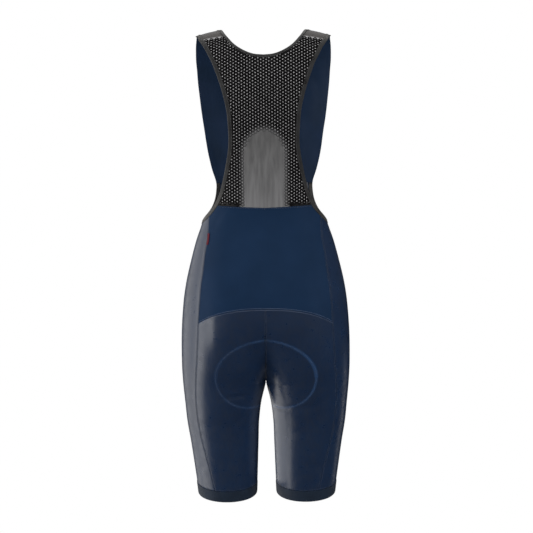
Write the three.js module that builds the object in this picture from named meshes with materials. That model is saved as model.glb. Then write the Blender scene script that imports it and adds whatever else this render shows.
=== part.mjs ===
// Women's cycling bib shorts, filled out as when worn but empty.
// Millimetres, +Z up, the front faces -Y and the wearer's left is +X.
// The origin lies midway between the two shoulder straps, level with their tops, so every drop
// below is measured downwards from there.
//
// The whole garment follows one figure, given by level sections. A spot on it is named by its drop
// below the shoulders and by its distance round the section from the flank, positive over the back
// and negative over the front. Each cut piece is a stretch of that surface between its seams, given
// the thickness of its cloth.

import * as THREE from "three";

// Cloth, trims and gaps
const KNIT = 1.5; // stretch knit of the shorts and the bib
const NET = 1.2; // knitted mesh of the back
const TRIM = 2.2; // elastic binding, folded over the edge
const TRIM_PROUD = 0.5; // how far trim stands above the cloth beside it
const GRIPPER = 2.6; // gripper band at the leg
const GRIPPER_PROUD = 0.9;
const SEAM_GAP = 0.36; // parting between neighbouring pieces
const ARMHOLE_TRIM_WIDTH = 8;
const NECK_TRIM_WIDTH = 6;

// Levels, as drops below the shoulders
const CROTCH = 680;
const RISE_HEIGHT = 160; // how far above the crotch the two halves have become one round body
const FLATTEST = 0.9995; // keeps the middle of a section a hair off straight
const SHOULDER_ROUND = 60; // height of the curve over the shoulder
const SHOULDER_DROP = 16.5; // fall of the shoulder from the neck to the strap's outer edge
const SHOULDER_REACH = 131; // where that fall is reached
const SHOULDER_CURVE = 3; // how late the fall sets in: it grows with this power of the distance
const SLOPE_FADES_BY = 160;
const BACK_STRAP_FOOT = 64; // where the straps run into the body of the back and of the front
const FRONT_STRAP_FOOT = 205;
const BACK_WAIST = { middle: 342, end: 338 };
const FRONT_WAIST = 300;
const BACK_ARC = { middle: 530, rise: 29, reach: 127, power: 2.6 };
// The seam over the gripper band, which dips at the back of the leg from a level above it down
const CUFF_SEAM = { flank: 881, back: 7.5, front: 0, fullness: 1.3, dipsFrom: 800 };
const HEM = { flank: 899, backDip: 10, frontDip: 3, fullness: 0.75 };

// Sections of the figure. outer is the half width, and middle is the place where the section is
// deepest. front and back are its depths, centre the line between them. inseam is the
// inside of the leg, which starts at the crotch.
const SECTIONS = [
  { drop: 0, outer: 185, middle: 60, front: -62, back: 76, centre: 6, inseam: 0 },
  { drop: 60, outer: 170, middle: 60, front: -74, back: 84, centre: 4, inseam: 0 },
  { drop: 110, outer: 156, middle: 50, front: -94, back: 90, centre: 2, inseam: 0 },
  { drop: 176, outer: 142, middle: 42, front: -108, back: 88, centre: 0, inseam: 0 },
  { drop: 234, outer: 130, middle: 34, front: -100, back: 79, centre: 0, inseam: 0 },
  { drop: 290, outer: 121, middle: 28, front: -90, back: 71, centre: 0, inseam: 0 },
  { drop: 335, outer: 117, middle: 25, front: -86, back: 68, centre: 0, inseam: 0 },
  { drop: 370, outer: 120.5, middle: 27, front: -88, back: 72, centre: 0, inseam: 0 },
  { drop: 409, outer: 133.3, middle: 32, front: -93, back: 84, centre: 0, inseam: 0 },
  { drop: 449, outer: 144, middle: 38, front: -97, back: 98, centre: 0, inseam: 0 },
  { drop: 488, outer: 153, middle: 46, front: -97, back: 111, centre: 0, inseam: 0 },
  { drop: 527, outer: 158.8, middle: 54, front: -96, back: 119, centre: 0, inseam: 0 },
  { drop: 585, outer: 162.9, middle: 64, front: -94, back: 121, centre: 0, inseam: 0 },
  { drop: 643, outer: 163.2, middle: 75, front: -92, back: 109, centre: 2, inseam: 0 },
  { drop: 680, outer: 161.4, middle: 80.7, front: -90, back: 98, centre: 4, inseam: 0 },
  { drop: 721, outer: 157.6, middle: 83.5, front: -90, back: 89, centre: 3, inseam: 9.4 },
  { drop: 760, outer: 153.8, middle: 83.4, front: -88, back: 82, centre: 0, inseam: 14.2 },
  { drop: 799, outer: 147.5, middle: 80.8, front: -84, back: 76, centre: -2, inseam: 15.6 },
  { drop: 838, outer: 141.9, middle: 78.5, front: -80, back: 71, centre: -3, inseam: 17 },
  { drop: 877, outer: 136.6, middle: 76.5, front: -76, back: 67, centre: -4, inseam: 18.4 },
  { drop: 915, outer: 132, middle: 75, front: -73, back: 64, centre: -4, inseam: 20 },
];

// The seam between the back and side pieces, by its distance from the middle of the garment.
// The one between the side and front pieces mirrors it over the front.
const SIDE_SEAM = [
  { drop: 360, x: 107 },
  { drop: 399, x: 109 },
  { drop: 427, x: 114 },
  { drop: 461, x: 118 },
  { drop: 493, x: 122.5 },
  { drop: 555, x: 127 },
  { drop: 613, x: 130 },
  { drop: 675, x: 134 },
  { drop: 710, x: 134.5 },
  { drop: 741, x: 132 },
  { drop: 777, x: 126.5 },
  { drop: 805, x: 120 },
  { drop: 847, x: 108.5 },
  { drop: 890, x: 97 },
];

// The edge of the armhole: down the back, under the arm where it meets the flank, up the front.
const ARMHOLE = [
  { over: "back", x: 129.5, drop: 0 },
  { over: "back", x: 124, drop: 10 },
  { over: "back", x: 117.5, drop: 22 },
  { over: "back", x: 109.5, drop: 38 },
  { over: "back", x: 99.5, drop: 60 },
  { over: "back", x: 91, drop: 82 },
  { over: "back", x: 83.5, drop: 105 },
  { over: "back", x: 76.5, drop: 129 },
  { over: "back", x: 71, drop: 154 },
  { over: "back", x: 68.5, drop: 178 },
  { over: "back", x: 67, drop: 207 },
  { over: "back", x: 69, drop: 238 },
  { over: "back", x: 73.5, drop: 263 },
  { over: "back", x: 79, drop: 289 },
  { over: "back", x: 85, drop: 312 },
  { over: "back", x: 96, drop: 336 },
  { over: "back", x: 106, drop: 350 },
  { over: "back", x: 115, drop: 361 },
  { over: "flank", x: 0, drop: 368 },
  { over: "front", x: 115, drop: 361 },
  { over: "front", x: 106, drop: 350 },
  { over: "front", x: 98.5, drop: 334 },
  { over: "front", x: 95, drop: 316 },
  { over: "front", x: 94.8, drop: 298 },
  { over: "front", x: 102.5, drop: 272 },
  { over: "front", x: 110.9, drop: 234 },
  { over: "front", x: 117.7, drop: 190 },
  { over: "front", x: 123.3, drop: 150 },
  { over: "front", x: 127.5, drop: 110 },
  { over: "front", x: 130.2, drop: 70 },
  { over: "front", x: 131.4, drop: 36 },
  { over: "front", x: 129.5, drop: 0 },
];

// The neck edge from a strap's inner corner to the middle, over the back and over the front.
const BACK_NECK = [
  { over: "back", x: 84, drop: 0 },
  { over: "back", x: 74, drop: 8 },
  { over: "back", x: 66, drop: 19 },
  { over: "back", x: 54, drop: 32.5 },
  { over: "back", x: 37, drop: 44 },
  { over: "back", x: 19, drop: 51 },
  { over: "back", x: 0, drop: 53 },
];
const FRONT_NECK = [
  { over: "front", x: 84, drop: 0 },
  { over: "front", x: 83, drop: 40 },
  { over: "front", x: 80, drop: 80 },
  { over: "front", x: 73, drop: 118 },
  { over: "front", x: 60, drop: 150 },
  { over: "front", x: 42, drop: 173 },
  { over: "front", x: 21, drop: 186 },
  { over: "front", x: 0, drop: 190 },
];

// The seat pad inside the shorts
const PAD = {
  level: 662,
  up: 74,
  down: 68,
  backReach: 99,
  frontReach: 60,
  lowest: 728,
  frontTop: 624,
  narrowest: 8,
  roundness: 0.53, // of the upper half: 0.5 is an ellipse
  squareness: 0.38, // of the lower half: below 0.5 is fuller than an ellipse
  standoff: KNIT + 2,
  rim: 2.5,
  loft: 6,
  endThinning: 0.7,
};

// The plain folded tab caught in the left side seam
const TAB = { top: 391, height: 21, width: 4.5, thickness: 0.9, lift: 0.35 };

// Rows and columns of facets
const YOKE_ROWS = 8;
const BACK_COLUMNS = 8;
const SLOPE_COLUMNS = 3;
const SIDE_COLUMNS = 8;
const STRAP_ROWS = 9;
const MESH_ROWS = 15;
const MESH_COLUMNS = 6;
const BIB_STRAP_ROWS = 18;
const BIB_ROWS = 6;
const BIB_COLUMNS = 7;
const CUFF_COLUMNS = 30;
const PAD_COLUMNS = 5;
const PAD_TOP_LEVELS = [592, 600, 611, 624];
// Levels of the rows on the seat and legs, close together at the crotch where the form turns fast
const LEG_LEVELS = [
  ...[BACK_ARC.middle, 552, 574, 596, 618, 637, 653, 665, 673, 678, CROTCH],
  ...[683, 689, 699, 714, 735, 760, 790, 820, 850, CUFF_SEAM.flank],
];

// One column of a table at any level, as a smooth curve through its rows.
function smoothColumn(table, name, at) {
  const last = table.length - 1;
  let i = 0;
  while (i < last - 1 && at > table[i + 1].drop) i++;
  const slope = (k) => {
    const a = table[Math.max(0, k - 1)];
    const b = table[Math.min(last, k + 1)];
    return (b[name] - a[name]) / (b.drop - a.drop);
  };
  const span = table[i + 1].drop - table[i].drop;
  const t = THREE.MathUtils.clamp((at - table[i].drop) / span, 0, 1);
  const rise = span * t * (1 - t);
  const straight = table[i][name] + (table[i + 1][name] - table[i][name]) * t * t * (3 - 2 * t);
  return straight + rise * ((1 - t) * slope(i) - t * slope(i + 1));
}

// Over the shoulder the path along the garment turns from level to plumb, on a round curve.
const ROUND_END = (SHOULDER_ROUND * Math.PI) / 2;
function dropOf(path) {
  return path < ROUND_END
    ? SHOULDER_ROUND * (1 - Math.cos(path / SHOULDER_ROUND))
    : SHOULDER_ROUND + path - ROUND_END;
}
function pathOf(drop) {
  return drop < SHOULDER_ROUND
    ? SHOULDER_ROUND * Math.acos(1 - drop / SHOULDER_ROUND)
    : ROUND_END + drop - SHOULDER_ROUND;
}

// Half of one level section from the flank to the middle line, or to the inseam on a leg:
// points in x and y with their distances from the flank.
const ARC_STEPS = 26;
const ringCache = new Map();
function halfSection(drop, over) {
  const key = over + drop.toFixed(4);
  if (ringCache.has(key)) return ringCache.get(key);
  const column = (name) => smoothColumn(SECTIONS, name, drop);
  const middle = column("middle");
  const centre = column("centre");
  const roundness = drop < SHOULDER_ROUND ? Math.sin(pathOf(drop) / SHOULDER_ROUND) : 1;
  const depth = (column(over) - centre) * roundness;
  const above = CROTCH - drop;
  let inner = middle - Math.max(0, column("inseam"));
  let end = Math.PI;
  if (above > 0) {
    const lift = Math.sqrt(Math.sin((Math.min(1, above / RISE_HEIGHT) * Math.PI) / 2));
    const flat = Math.min(FLATTEST, lift);
    inner = middle / Math.sqrt(1 - flat * flat);
    end = Math.PI - Math.acos(middle / inner);
  }
  const outer = column("outer") - middle;
  const points = [];
  const distances = [];
  const add = (angle) => {
    const reach = angle <= Math.PI / 2 ? outer : inner;
    const p = [middle + reach * Math.cos(angle), centre + depth * Math.sin(angle)];
    const before = points[points.length - 1];
    const step = before ? Math.hypot(p[0] - before[0], p[1] - before[1]) : 0;
    distances.push(step + (distances[distances.length - 1] || 0));
    points.push(p);
  };
  for (let i = 0; i <= ARC_STEPS; i++) add(((Math.PI / 2) * i) / ARC_STEPS);
  for (let i = 1; i <= ARC_STEPS; i++) add(Math.PI / 2 + ((end - Math.PI / 2) * i) / ARC_STEPS);
  const made = { points, distances, length: distances[distances.length - 1] };
  ringCache.set(key, made);
  return made;
}

function lookUp(keys, values, at) {
  let i = 1;
  while (i < keys.length - 1 && keys[i] < at) i++;
  const t = (at - keys[i - 1]) / (keys[i] - keys[i - 1]);
  return values[i - 1].map((v, k) => v + (values[i][k] - v) * t);
}

// A spot on the left half of the figure. round is the signed distance from the flank, path the
// distance down from the shoulder line.
function spot(round, path) {
  const drop = dropOf(path);
  const half = halfSection(drop, round < 0 ? "front" : "back");
  const [x, y] = lookUp(half.distances, half.points, Math.min(Math.abs(round), half.length));
  const fade = Math.max(0, 1 - drop / SLOPE_FADES_BY) ** 2;
  const fall = SHOULDER_DROP * (x / SHOULDER_REACH) ** SHOULDER_CURVE * fade;
  return new THREE.Vector3(x, y, -drop - fall);
}

// The outward direction of the cloth at a spot. On the middle line it lies in the middle plane.
const PROBE = 0.4; // step for taking slopes of the surface
function outwards(round, path) {
  const drop = dropOf(path);
  const limit = halfSection(drop, round < 0 ? "front" : "back").length;
  const near = Math.max(-limit, Math.min(limit, round - PROBE));
  const far = Math.max(-limit, Math.min(limit, round + PROBE));
  const around = spot(far, path).sub(spot(near, path));
  const down = spot(round, path + PROBE).sub(spot(round, Math.max(0, path - PROBE)));
  return around.cross(down).normalize().negate();
}

// How far round from the flank a given x lies.
function roundAt(x, drop, over) {
  const half = halfSection(drop, over);
  let i = 1;
  while (i < half.points.length - 1 && half.points[i][0] > x) i++;
  const [a, b] = [half.points[i - 1][0], half.points[i][0]];
  const t = THREE.MathUtils.clamp((a - x) / (a - b || 1), 0, 1);
  const distance = half.distances[i - 1] + (half.distances[i] - half.distances[i - 1]) * t;
  return over === "front" ? -distance : distance;
}
const middleLine = (drop, over) => (over === "front" ? -1 : 1) * halfSection(drop, over).length;
const sideSeam = (drop, over) => roundAt(smoothColumn(SIDE_SEAM, "x", drop), drop, over);

// A smooth edge through the rows of a table, in round and path.
function edgeCurve(rows) {
  const points = rows.map((row) => {
    const round = row.over === "flank" ? 0 : roundAt(row.x, row.drop, row.over);
    return new THREE.Vector3(round, pathOf(row.drop), 0);
  });
  return new THREE.CatmullRomCurve3(points, false, "centripetal");
}
const armhole = edgeCurve(ARMHOLE);
const backNeck = edgeCurve(BACK_NECK);

// A point of an edge, moved into the cloth by a distance at right angles to the edge. Trims end
// square at the shoulder seam.
function inside(curve, t, distance, turn) {
  const p = curve.getPointAt(t);
  const along = curve.getTangentAt(t);
  if (p.y < PROBE) return { round: p.x + turn * Math.sign(along.y) * distance, path: 0 };
  const here = spot(p.x, p.y);
  const flankward = p.x > 0 ? -PROBE : PROBE;
  const perRound = spot(p.x + flankward, p.y).sub(here).divideScalar(flankward);
  const perPath = spot(p.x, p.y + PROBE).sub(here).divideScalar(PROBE);
  const edge = perRound.clone().multiplyScalar(along.x).addScaledVector(perPath, along.y);
  const across = outwards(p.x, p.y).cross(edge).setLength(distance * turn);
  const [a, b, c] = [perRound.dot(perRound), perRound.dot(perPath), perPath.dot(perPath)];
  const [u, v] = [across.dot(perRound), across.dot(perPath)];
  const size = a * c - b * b;
  return { round: p.x + (c * u - b * v) / size, path: p.y + (a * v - b * u) / size };
}
const armholeInside = (t, distance) => inside(armhole, t, distance, 1);
const backNeckInside = (t, distance) => inside(backNeck, t, distance, -1);

// The place along an edge where a measure of it changes sign.
function crossing(from, to, measure) {
  let [a, b] = [from, to];
  const rising = measure(b) > measure(a);
  for (let i = 0; i < 40; i++) {
    const m = (a + b) / 2;
    if (measure(m) > 0 === rising) b = m;
    else a = m;
  }
  return (a + b) / 2;
}
const BOTTOM = crossing(0.3, 0.7, (t) => armhole.getPointAt(t).x);
const levelMiss = (drop) => (t) => dropOf(armholeInside(t, ARMHOLE_TRIM_WIDTH).path) - drop;
const STRAP_END = crossing(0, 0.3, levelMiss(BACK_STRAP_FOOT));
const WAIST_END = crossing(0.1, BOTTOM, levelMiss(BACK_WAIST.end));
const seamMiss = (over) => (t) => {
  const p = armholeInside(t, ARMHOLE_TRIM_WIDTH);
  return p.round - sideSeam(dropOf(p.path), over);
};
const BACK_SEAM_TOP = crossing(WAIST_END, BOTTOM, seamMiss("back"));
const FRONT_SEAM_TOP = crossing(BOTTOM, 0.6, seamMiss("front"));
const FRONT_WAIST_END = crossing(FRONT_SEAM_TOP, 0.8, levelMiss(FRONT_WAIST));
const BIB_STRAP_END = crossing(FRONT_WAIST_END, 1, levelMiss(FRONT_STRAP_FOOT));

// A node of cloth: its place on the figure, its point and its outward direction.
function clothPoint(round, path) {
  return { point: spot(round, path), out: outwards(round, path) };
}
function mirrored(grid) {
  const flip = (v) => new THREE.Vector3(-v.x, v.y, v.z);
  return grid.map((row) => row.map((c) => ({ point: flip(c.point), out: flip(c.out) })));
}
function gridOf(rows, columns, place) {
  return Array.from({ length: rows + 1 }, (_, i) =>
    Array.from({ length: columns + 1 }, (_, j) => {
      const at = place(i, j);
      return clothPoint(at.round, at.path);
    }),
  );
}

// Draws the chosen borders of a grid back by half the parting at a seam.
function partAt(grid, borders) {
  const move = (cell, towards) => {
    const way = towards.point.clone().sub(cell.point);
    cell.point.add(way.setLength(Math.min(SEAM_GAP / 2, way.length() / 2)));
  };
  const last = grid[0].length - 1;
  const bottom = grid.length - 1;
  if (borders.includes("top")) grid[0].forEach((c, j) => move(c, grid[1][j]));
  if (borders.includes("bottom")) grid[bottom].forEach((c, j) => move(c, grid[bottom - 1][j]));
  if (borders.includes("start")) grid.forEach((row) => move(row[0], row[1]));
  if (borders.includes("end")) grid.forEach((row) => move(row[last], row[last - 1]));
  return grid;
}
// Keeps one half's cloth clear of the middle plane.
function clearOfMiddle(grid) {
  grid.forEach((row) => row.forEach((c) => (c.point.x = Math.max(c.point.x, SEAM_GAP / 2))));
  return grid;
}

// Joins grids that share points into one sheet and gives it thickness: an outer and an inner face,
// and a strip along every free edge.
const SAME_POINT = 0.002;
function wall(grids, thickness, proud = 0) {
  const vertices = [];
  const found = new Map();
  const indexOf = (cell) => {
    const key = cell.point.toArray().map((v) => Math.round(v / SAME_POINT)).join();
    if (!found.has(key)) {
      found.set(key, vertices.length);
      vertices.push({ point: cell.point, out: new THREE.Vector3(), depth: cell.depth });
    }
    const index = found.get(key);
    vertices[index].out.add(cell.out);
    return index;
  };
  const faces = [];
  for (const grid of grids) {
    const ids = grid.map((row) => row.map(indexOf));
    for (let i = 0; i + 1 < ids.length; i++) {
      for (let j = 0; j + 1 < ids[i].length; j++) {
        faces.push([ids[i][j], ids[i + 1][j], ids[i + 1][j + 1]]);
        faces.push([ids[i][j], ids[i + 1][j + 1], ids[i][j + 1]]);
      }
    }
  }
  for (const v of vertices) {
    if (Math.abs(v.point.x) < SAME_POINT) v.out.x = 0;
    v.out.normalize();
  }
  const facing = ([a, b, c]) => {
    const [p, q, r] = [a, b, c].map((i) => vertices[i].point);
    const normal = q.clone().sub(p).cross(r.clone().sub(p));
    return normal.dot(vertices[a].out.clone().add(vertices[b].out).add(vertices[c].out));
  };
  const turned = faces
    .filter(([a, b, c]) => a !== b && b !== c && a !== c)
    .map((f) => (facing(f) < 0 ? [f[0], f[2], f[1]] : f));
  const count = vertices.length;
  const positions = [];
  for (const level of [0, 1]) {
    for (const v of vertices) {
      const depth = proud - level * (v.depth ?? thickness);
      positions.push(...v.point.clone().addScaledVector(v.out, depth).toArray());
    }
  }
  const free = new Map();
  for (const [a, b, c] of turned) {
    for (const [p, q] of [[a, b], [b, c], [c, a]]) {
      if (free.has(q + "," + p)) free.delete(q + "," + p);
      else free.set(p + "," + q, [p, q]);
    }
  }
  const index = turned.flatMap(([a, b, c]) => [a, b, c, count + a, count + c, count + b]);
  for (const [p, q] of free.values()) index.push(p, count + q, q, p, count + p, count + q);
  const geometry = new THREE.BufferGeometry();
  geometry.setAttribute("position", new THREE.Float32BufferAttribute(positions, 3));
  geometry.setIndex(index);
  return geometry;
}

// Cloth and trim colours
const finish = (color, roughness) => new THREE.MeshStandardMaterial({ color, roughness });
const NAVY_KNIT = finish(0x1d2b42, 0.5);
const BLACK_MESH = finish(0x1b1a1d, 0.8);
const GREY_ELASTIC = finish(0x3a3a3c, 0.75);
const SLATE_GRIPPER = finish(0x1b2531, 0.6);
const BLUE_FOAM = finish(0x27406b, 0.9);
const RED_TAPE = finish(0x7a1f35, 0.7);

const shorts = new THREE.Group();
function addPiece(name, geometry, material) {
  const mesh = new THREE.Mesh(geometry, material);
  mesh.name = name;
  shorts.add(mesh);
}
const HANDS = [
  ["left", (grid) => grid],
  ["right", mirrored],
];

// Points of an edge that a piece and its trim share
const steps = (from, to, count) =>
  Array.from({ length: count + 1 }, (_, i) => from + ((to - from) * i) / count);

// The knitted mesh back. On each half its rows run from the neck trim, then the middle line, out to
// the armhole trim, and the two halves are one cloth.
const meshEdge = [
  ...steps(0, STRAP_END, STRAP_ROWS),
  ...steps(STRAP_END, WAIST_END, MESH_ROWS).slice(1),
];
const neckSteps = steps(0, 1, STRAP_ROWS);
const neckLow = pathOf(BACK_NECK[BACK_NECK.length - 1].drop) + NECK_TRIM_WIDTH;
function meshRow(i) {
  const outer = armholeInside(meshEdge[i], ARMHOLE_TRIM_WIDTH);
  if (i < STRAP_ROWS) return [backNeckInside(neckSteps[i], NECK_TRIM_WIDTH), outer];
  const down = (i - STRAP_ROWS) / MESH_ROWS;
  const path = neckLow + (pathOf(BACK_WAIST.middle) - neckLow) * down;
  return [{ round: middleLine(dropOf(path), "back"), path }, outer];
}
function meshHalf() {
  const total = STRAP_ROWS + MESH_ROWS;
  const grid = gridOf(total, MESH_COLUMNS, (i, j) => {
    const [inner, outer] = meshRow(i);
    const across = j / MESH_COLUMNS;
    const path = inner.path + (outer.path - inner.path) * across;
    if (i < STRAP_ROWS) return { round: inner.round + (outer.round - inner.round) * across, path };
    const reach = middleLine(dropOf(outer.path), "back") - outer.round;
    return { round: middleLine(dropOf(path), "back") - reach * across, path };
  });
  return partAt(grid, ["top", "bottom", "end"]);
}
function meshGrids() {
  const half = meshHalf();
  half.slice(0, STRAP_ROWS).forEach((row) => {
    const way = row[1].point.clone().sub(row[0].point).setLength(SEAM_GAP / 2);
    row[0].point.add(way);
  });
  half[STRAP_ROWS][0].point.z -= SEAM_GAP / 2;
  half.slice(STRAP_ROWS).forEach((row) => (row[0].point.x = 0));
  return [half, mirrored(half)];
}
addPiece("back_mesh", wall(meshGrids(), NET), BLACK_MESH);

// The neck trim, one strip from shoulder to shoulder round the back of the neck
function neckTrimHalf() {
  const grid = gridOf(STRAP_ROWS, 1, (i, j) =>
    backNeckInside(neckSteps[i], j * NECK_TRIM_WIDTH),
  );
  grid.forEach((row) => {
    const way = row[0].point.clone().sub(row[1].point);
    row[1].point.add(way.setLength(SEAM_GAP / 2));
  });
  grid[STRAP_ROWS].forEach((c) => (c.point.x = 0));
  return partAt(grid, ["top"]);
}
const neckTrim = neckTrimHalf();
addPiece("neck_binding", wall([neckTrim, mirrored(neckTrim)], TRIM, TRIM_PROUD), GREY_ELASTIC);

// The armhole trims, from the shoulder seam down the mesh, under the arm and up to the front waist
const slopeEdge = steps(WAIST_END, BACK_SEAM_TOP, SLOPE_COLUMNS);
const sideEdge = steps(BACK_SEAM_TOP, FRONT_SEAM_TOP, SIDE_COLUMNS);
const frontSlopeEdge = steps(FRONT_SEAM_TOP, FRONT_WAIST_END, SLOPE_COLUMNS);
const trimEdge = [
  ...meshEdge,
  ...slopeEdge.slice(1),
  ...sideEdge.slice(1),
  ...frontSlopeEdge.slice(1),
];
function armholeTrim() {
  const grid = gridOf(trimEdge.length - 1, 1, (i, j) =>
    armholeInside(trimEdge[i], j * ARMHOLE_TRIM_WIDTH),
  );
  return partAt(grid, ["top", "bottom", "end"]);
}
for (const [side, hand] of HANDS) {
  addPiece("armhole_binding_" + side, wall([hand(armholeTrim())], TRIM, TRIM_PROUD), GREY_ELASTIC);
}

// The front bib: two straps joined below the scooped neck, plain at its edges
const frontNeck = edgeCurve(FRONT_NECK);
const bibEdge = [
  ...steps(1, BIB_STRAP_END, BIB_STRAP_ROWS),
  ...steps(BIB_STRAP_END, FRONT_WAIST_END, BIB_ROWS).slice(1),
];
function bibHalf() {
  const low = pathOf(FRONT_NECK[FRONT_NECK.length - 1].drop);
  return gridOf(BIB_STRAP_ROWS + BIB_ROWS, BIB_COLUMNS, (i, j) => {
    const edge = armhole.getPointAt(bibEdge[i]);
    if (j === BIB_COLUMNS) return { round: edge.x, path: edge.y };
    const hem = armholeInside(bibEdge[i], ARMHOLE_TRIM_WIDTH);
    const across = j / (BIB_COLUMNS - 1);
    if (i < BIB_STRAP_ROWS) {
      const neck = frontNeck.getPointAt(i / BIB_STRAP_ROWS);
      return {
        round: neck.x + (hem.round - neck.x) * across,
        path: neck.y + (hem.path - neck.y) * across,
      };
    }
    const down = (i - BIB_STRAP_ROWS) / BIB_ROWS;
    const middlePath = low + (pathOf(FRONT_WAIST) - low) * down;
    const path = middlePath + (hem.path - middlePath) * across;
    const reach = hem.round - middleLine(dropOf(hem.path), "front");
    return { round: middleLine(dropOf(path), "front") + reach * across, path };
  });
}
function bibGrids() {
  const half = partAt(bibHalf(), ["top", "bottom"]);
  half.slice(BIB_STRAP_ROWS).forEach((row) => (row[0].point.x = 0));
  return [half, mirrored(half)];
}
addPiece("bib_front", wall(bibGrids(), KNIT), NAVY_KNIT);

// A place between the middle line and the side seam, where 0 is the middle and 1 the seam
function betweenSeams(share, drop, over) {
  const middle = middleLine(drop, over);
  return { round: middle + (sideSeam(drop, over) - middle) * share, path: pathOf(drop) };
}
// The same share for a point of the armhole trim's lower edge
function trimShare(t, over) {
  const p = armholeInside(t, ARMHOLE_TRIM_WIDTH);
  const drop = dropOf(p.path);
  const middle = middleLine(drop, over);
  return { share: (p.round - middle) / (sideSeam(drop, over) - middle), drop };
}
// The level of the curved seam under the back yoke
function arcLevel(share) {
  const x = share * BACK_ARC.reach;
  return BACK_ARC.middle + BACK_ARC.rise * (x / BACK_ARC.reach) ** BACK_ARC.power;
}
// The top edge of a piece below the waist: along the waist, then down the armhole trim
function topEdge(over) {
  const [edge, middleDrop] =
    over === "back"
      ? [slopeEdge, BACK_WAIST.middle]
      : [[...frontSlopeEdge].reverse(), FRONT_WAIST];
  const corner = trimShare(edge[0], over);
  const flat = BACK_COLUMNS - SLOPE_COLUMNS;
  return Array.from({ length: BACK_COLUMNS + 1 }, (_, j) => {
    if (j > flat) return trimShare(edge[j - flat], over);
    const across = j / flat;
    return {
      share: corner.share * across,
      drop: middleDrop + (corner.drop - middleDrop) * across,
    };
  });
}
// Shares of the columns at the curved seam, which the pieces above and below it both use
const lowerShare = (j) => j / BACK_COLUMNS;
function upperPlace(top, over, i, j) {
  const down = i / YOKE_ROWS;
  const share = top[j].share + (lowerShare(j) - top[j].share) * down;
  const drop = top[j].drop + (arcLevel(lowerShare(j)) - top[j].drop) * down;
  return betweenSeams(share, drop, over);
}
// Rows below the curved seam: they follow it at first and lie level from the crotch down.
function legDrop(level, share) {
  const fade = Math.max(0, (CROTCH - level) / (CROTCH - LEG_LEVELS[0]));
  return level + (arcLevel(share) - BACK_ARC.middle) * fade;
}
function lowerPlace(over, i, j) {
  const share = lowerShare(j);
  return dipped(betweenSeams(share, legDrop(LEG_LEVELS[i], share), over));
}
// How far the seam over the gripper band dips, from the flank (share 0) to the inseam (share 1)
function cuffDip(share, over) {
  return CUFF_SEAM[over] * Math.max(0, Math.sin(Math.PI * share)) ** CUFF_SEAM.fullness;
}
// A place on the leg, lowered by its part of that dip
function dipped({ round, path }) {
  const drop = dropOf(path);
  if (drop <= CUFF_SEAM.dipsFrom) return { round, path };
  const over = round < 0 ? "front" : "back";
  const share = round / middleLine(drop, over);
  const near = (drop - CUFF_SEAM.dipsFrom) / (CUFF_SEAM.flank - CUFF_SEAM.dipsFrom);
  const lower = drop + cuffDip(share, over) * near * near;
  return { round: share * middleLine(lower, over), path: pathOf(lower) };
}

// The back yoke, one piece across the back from the mesh to the curved seam
function yokeHalf() {
  const top = topEdge("back");
  const half = gridOf(YOKE_ROWS, BACK_COLUMNS, (i, j) => upperPlace(top, "back", i, j));
  partAt(half, ["top", "bottom", "end"]);
  half.forEach((row) => (row[0].point.x = 0));
  return half;
}
const yoke = yokeHalf();
addPiece("back_yoke", wall([yoke, mirrored(yoke)], KNIT), NAVY_KNIT);

// The seat pieces, each running on down the back of its leg
const LEG_ROWS = LEG_LEVELS.length - 1;
function seatPiece() {
  const grid = gridOf(LEG_ROWS, BACK_COLUMNS, (i, j) => lowerPlace("back", i, j));
  return clearOfMiddle(partAt(grid, ["top", "bottom", "start", "end"]));
}

// The front pieces, each from the waist over the belly and down the front of its leg
function frontPiece() {
  const top = topEdge("front");
  const grid = gridOf(YOKE_ROWS + LEG_ROWS, BACK_COLUMNS, (i, j) =>
    i < YOKE_ROWS ? upperPlace(top, "front", i, j) : lowerPlace("front", i - YOKE_ROWS, j),
  );
  return clearOfMiddle(partAt(grid, ["top", "bottom", "start", "end"]));
}

// The side pieces, from the armhole trim down the outside of the leg
function sidePiece() {
  const grid = gridOf(YOKE_ROWS + LEG_ROWS, SIDE_COLUMNS, (i, j) => {
    const across = j / SIDE_COLUMNS;
    const top = armholeInside(sideEdge[j], ARMHOLE_TRIM_WIDTH);
    const topDrop = dropOf(top.path);
    const down = Math.min(1, i / YOKE_ROWS);
    const drop =
      i <= YOKE_ROWS
        ? topDrop + (arcLevel(1) - topDrop) * down
        : legDrop(LEG_LEVELS[i - YOKE_ROWS], 1);
    const back = sideSeam(drop, "back");
    const level = back + (sideSeam(drop, "front") - back) * across;
    const topBack = sideSeam(topDrop, "back");
    const topLevel = topBack + (sideSeam(topDrop, "front") - topBack) * across;
    return dipped({ round: level + (top.round - topLevel) * (1 - down), path: pathOf(drop) });
  });
  return partAt(grid, ["top", "bottom", "start", "end"]);
}

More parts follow.
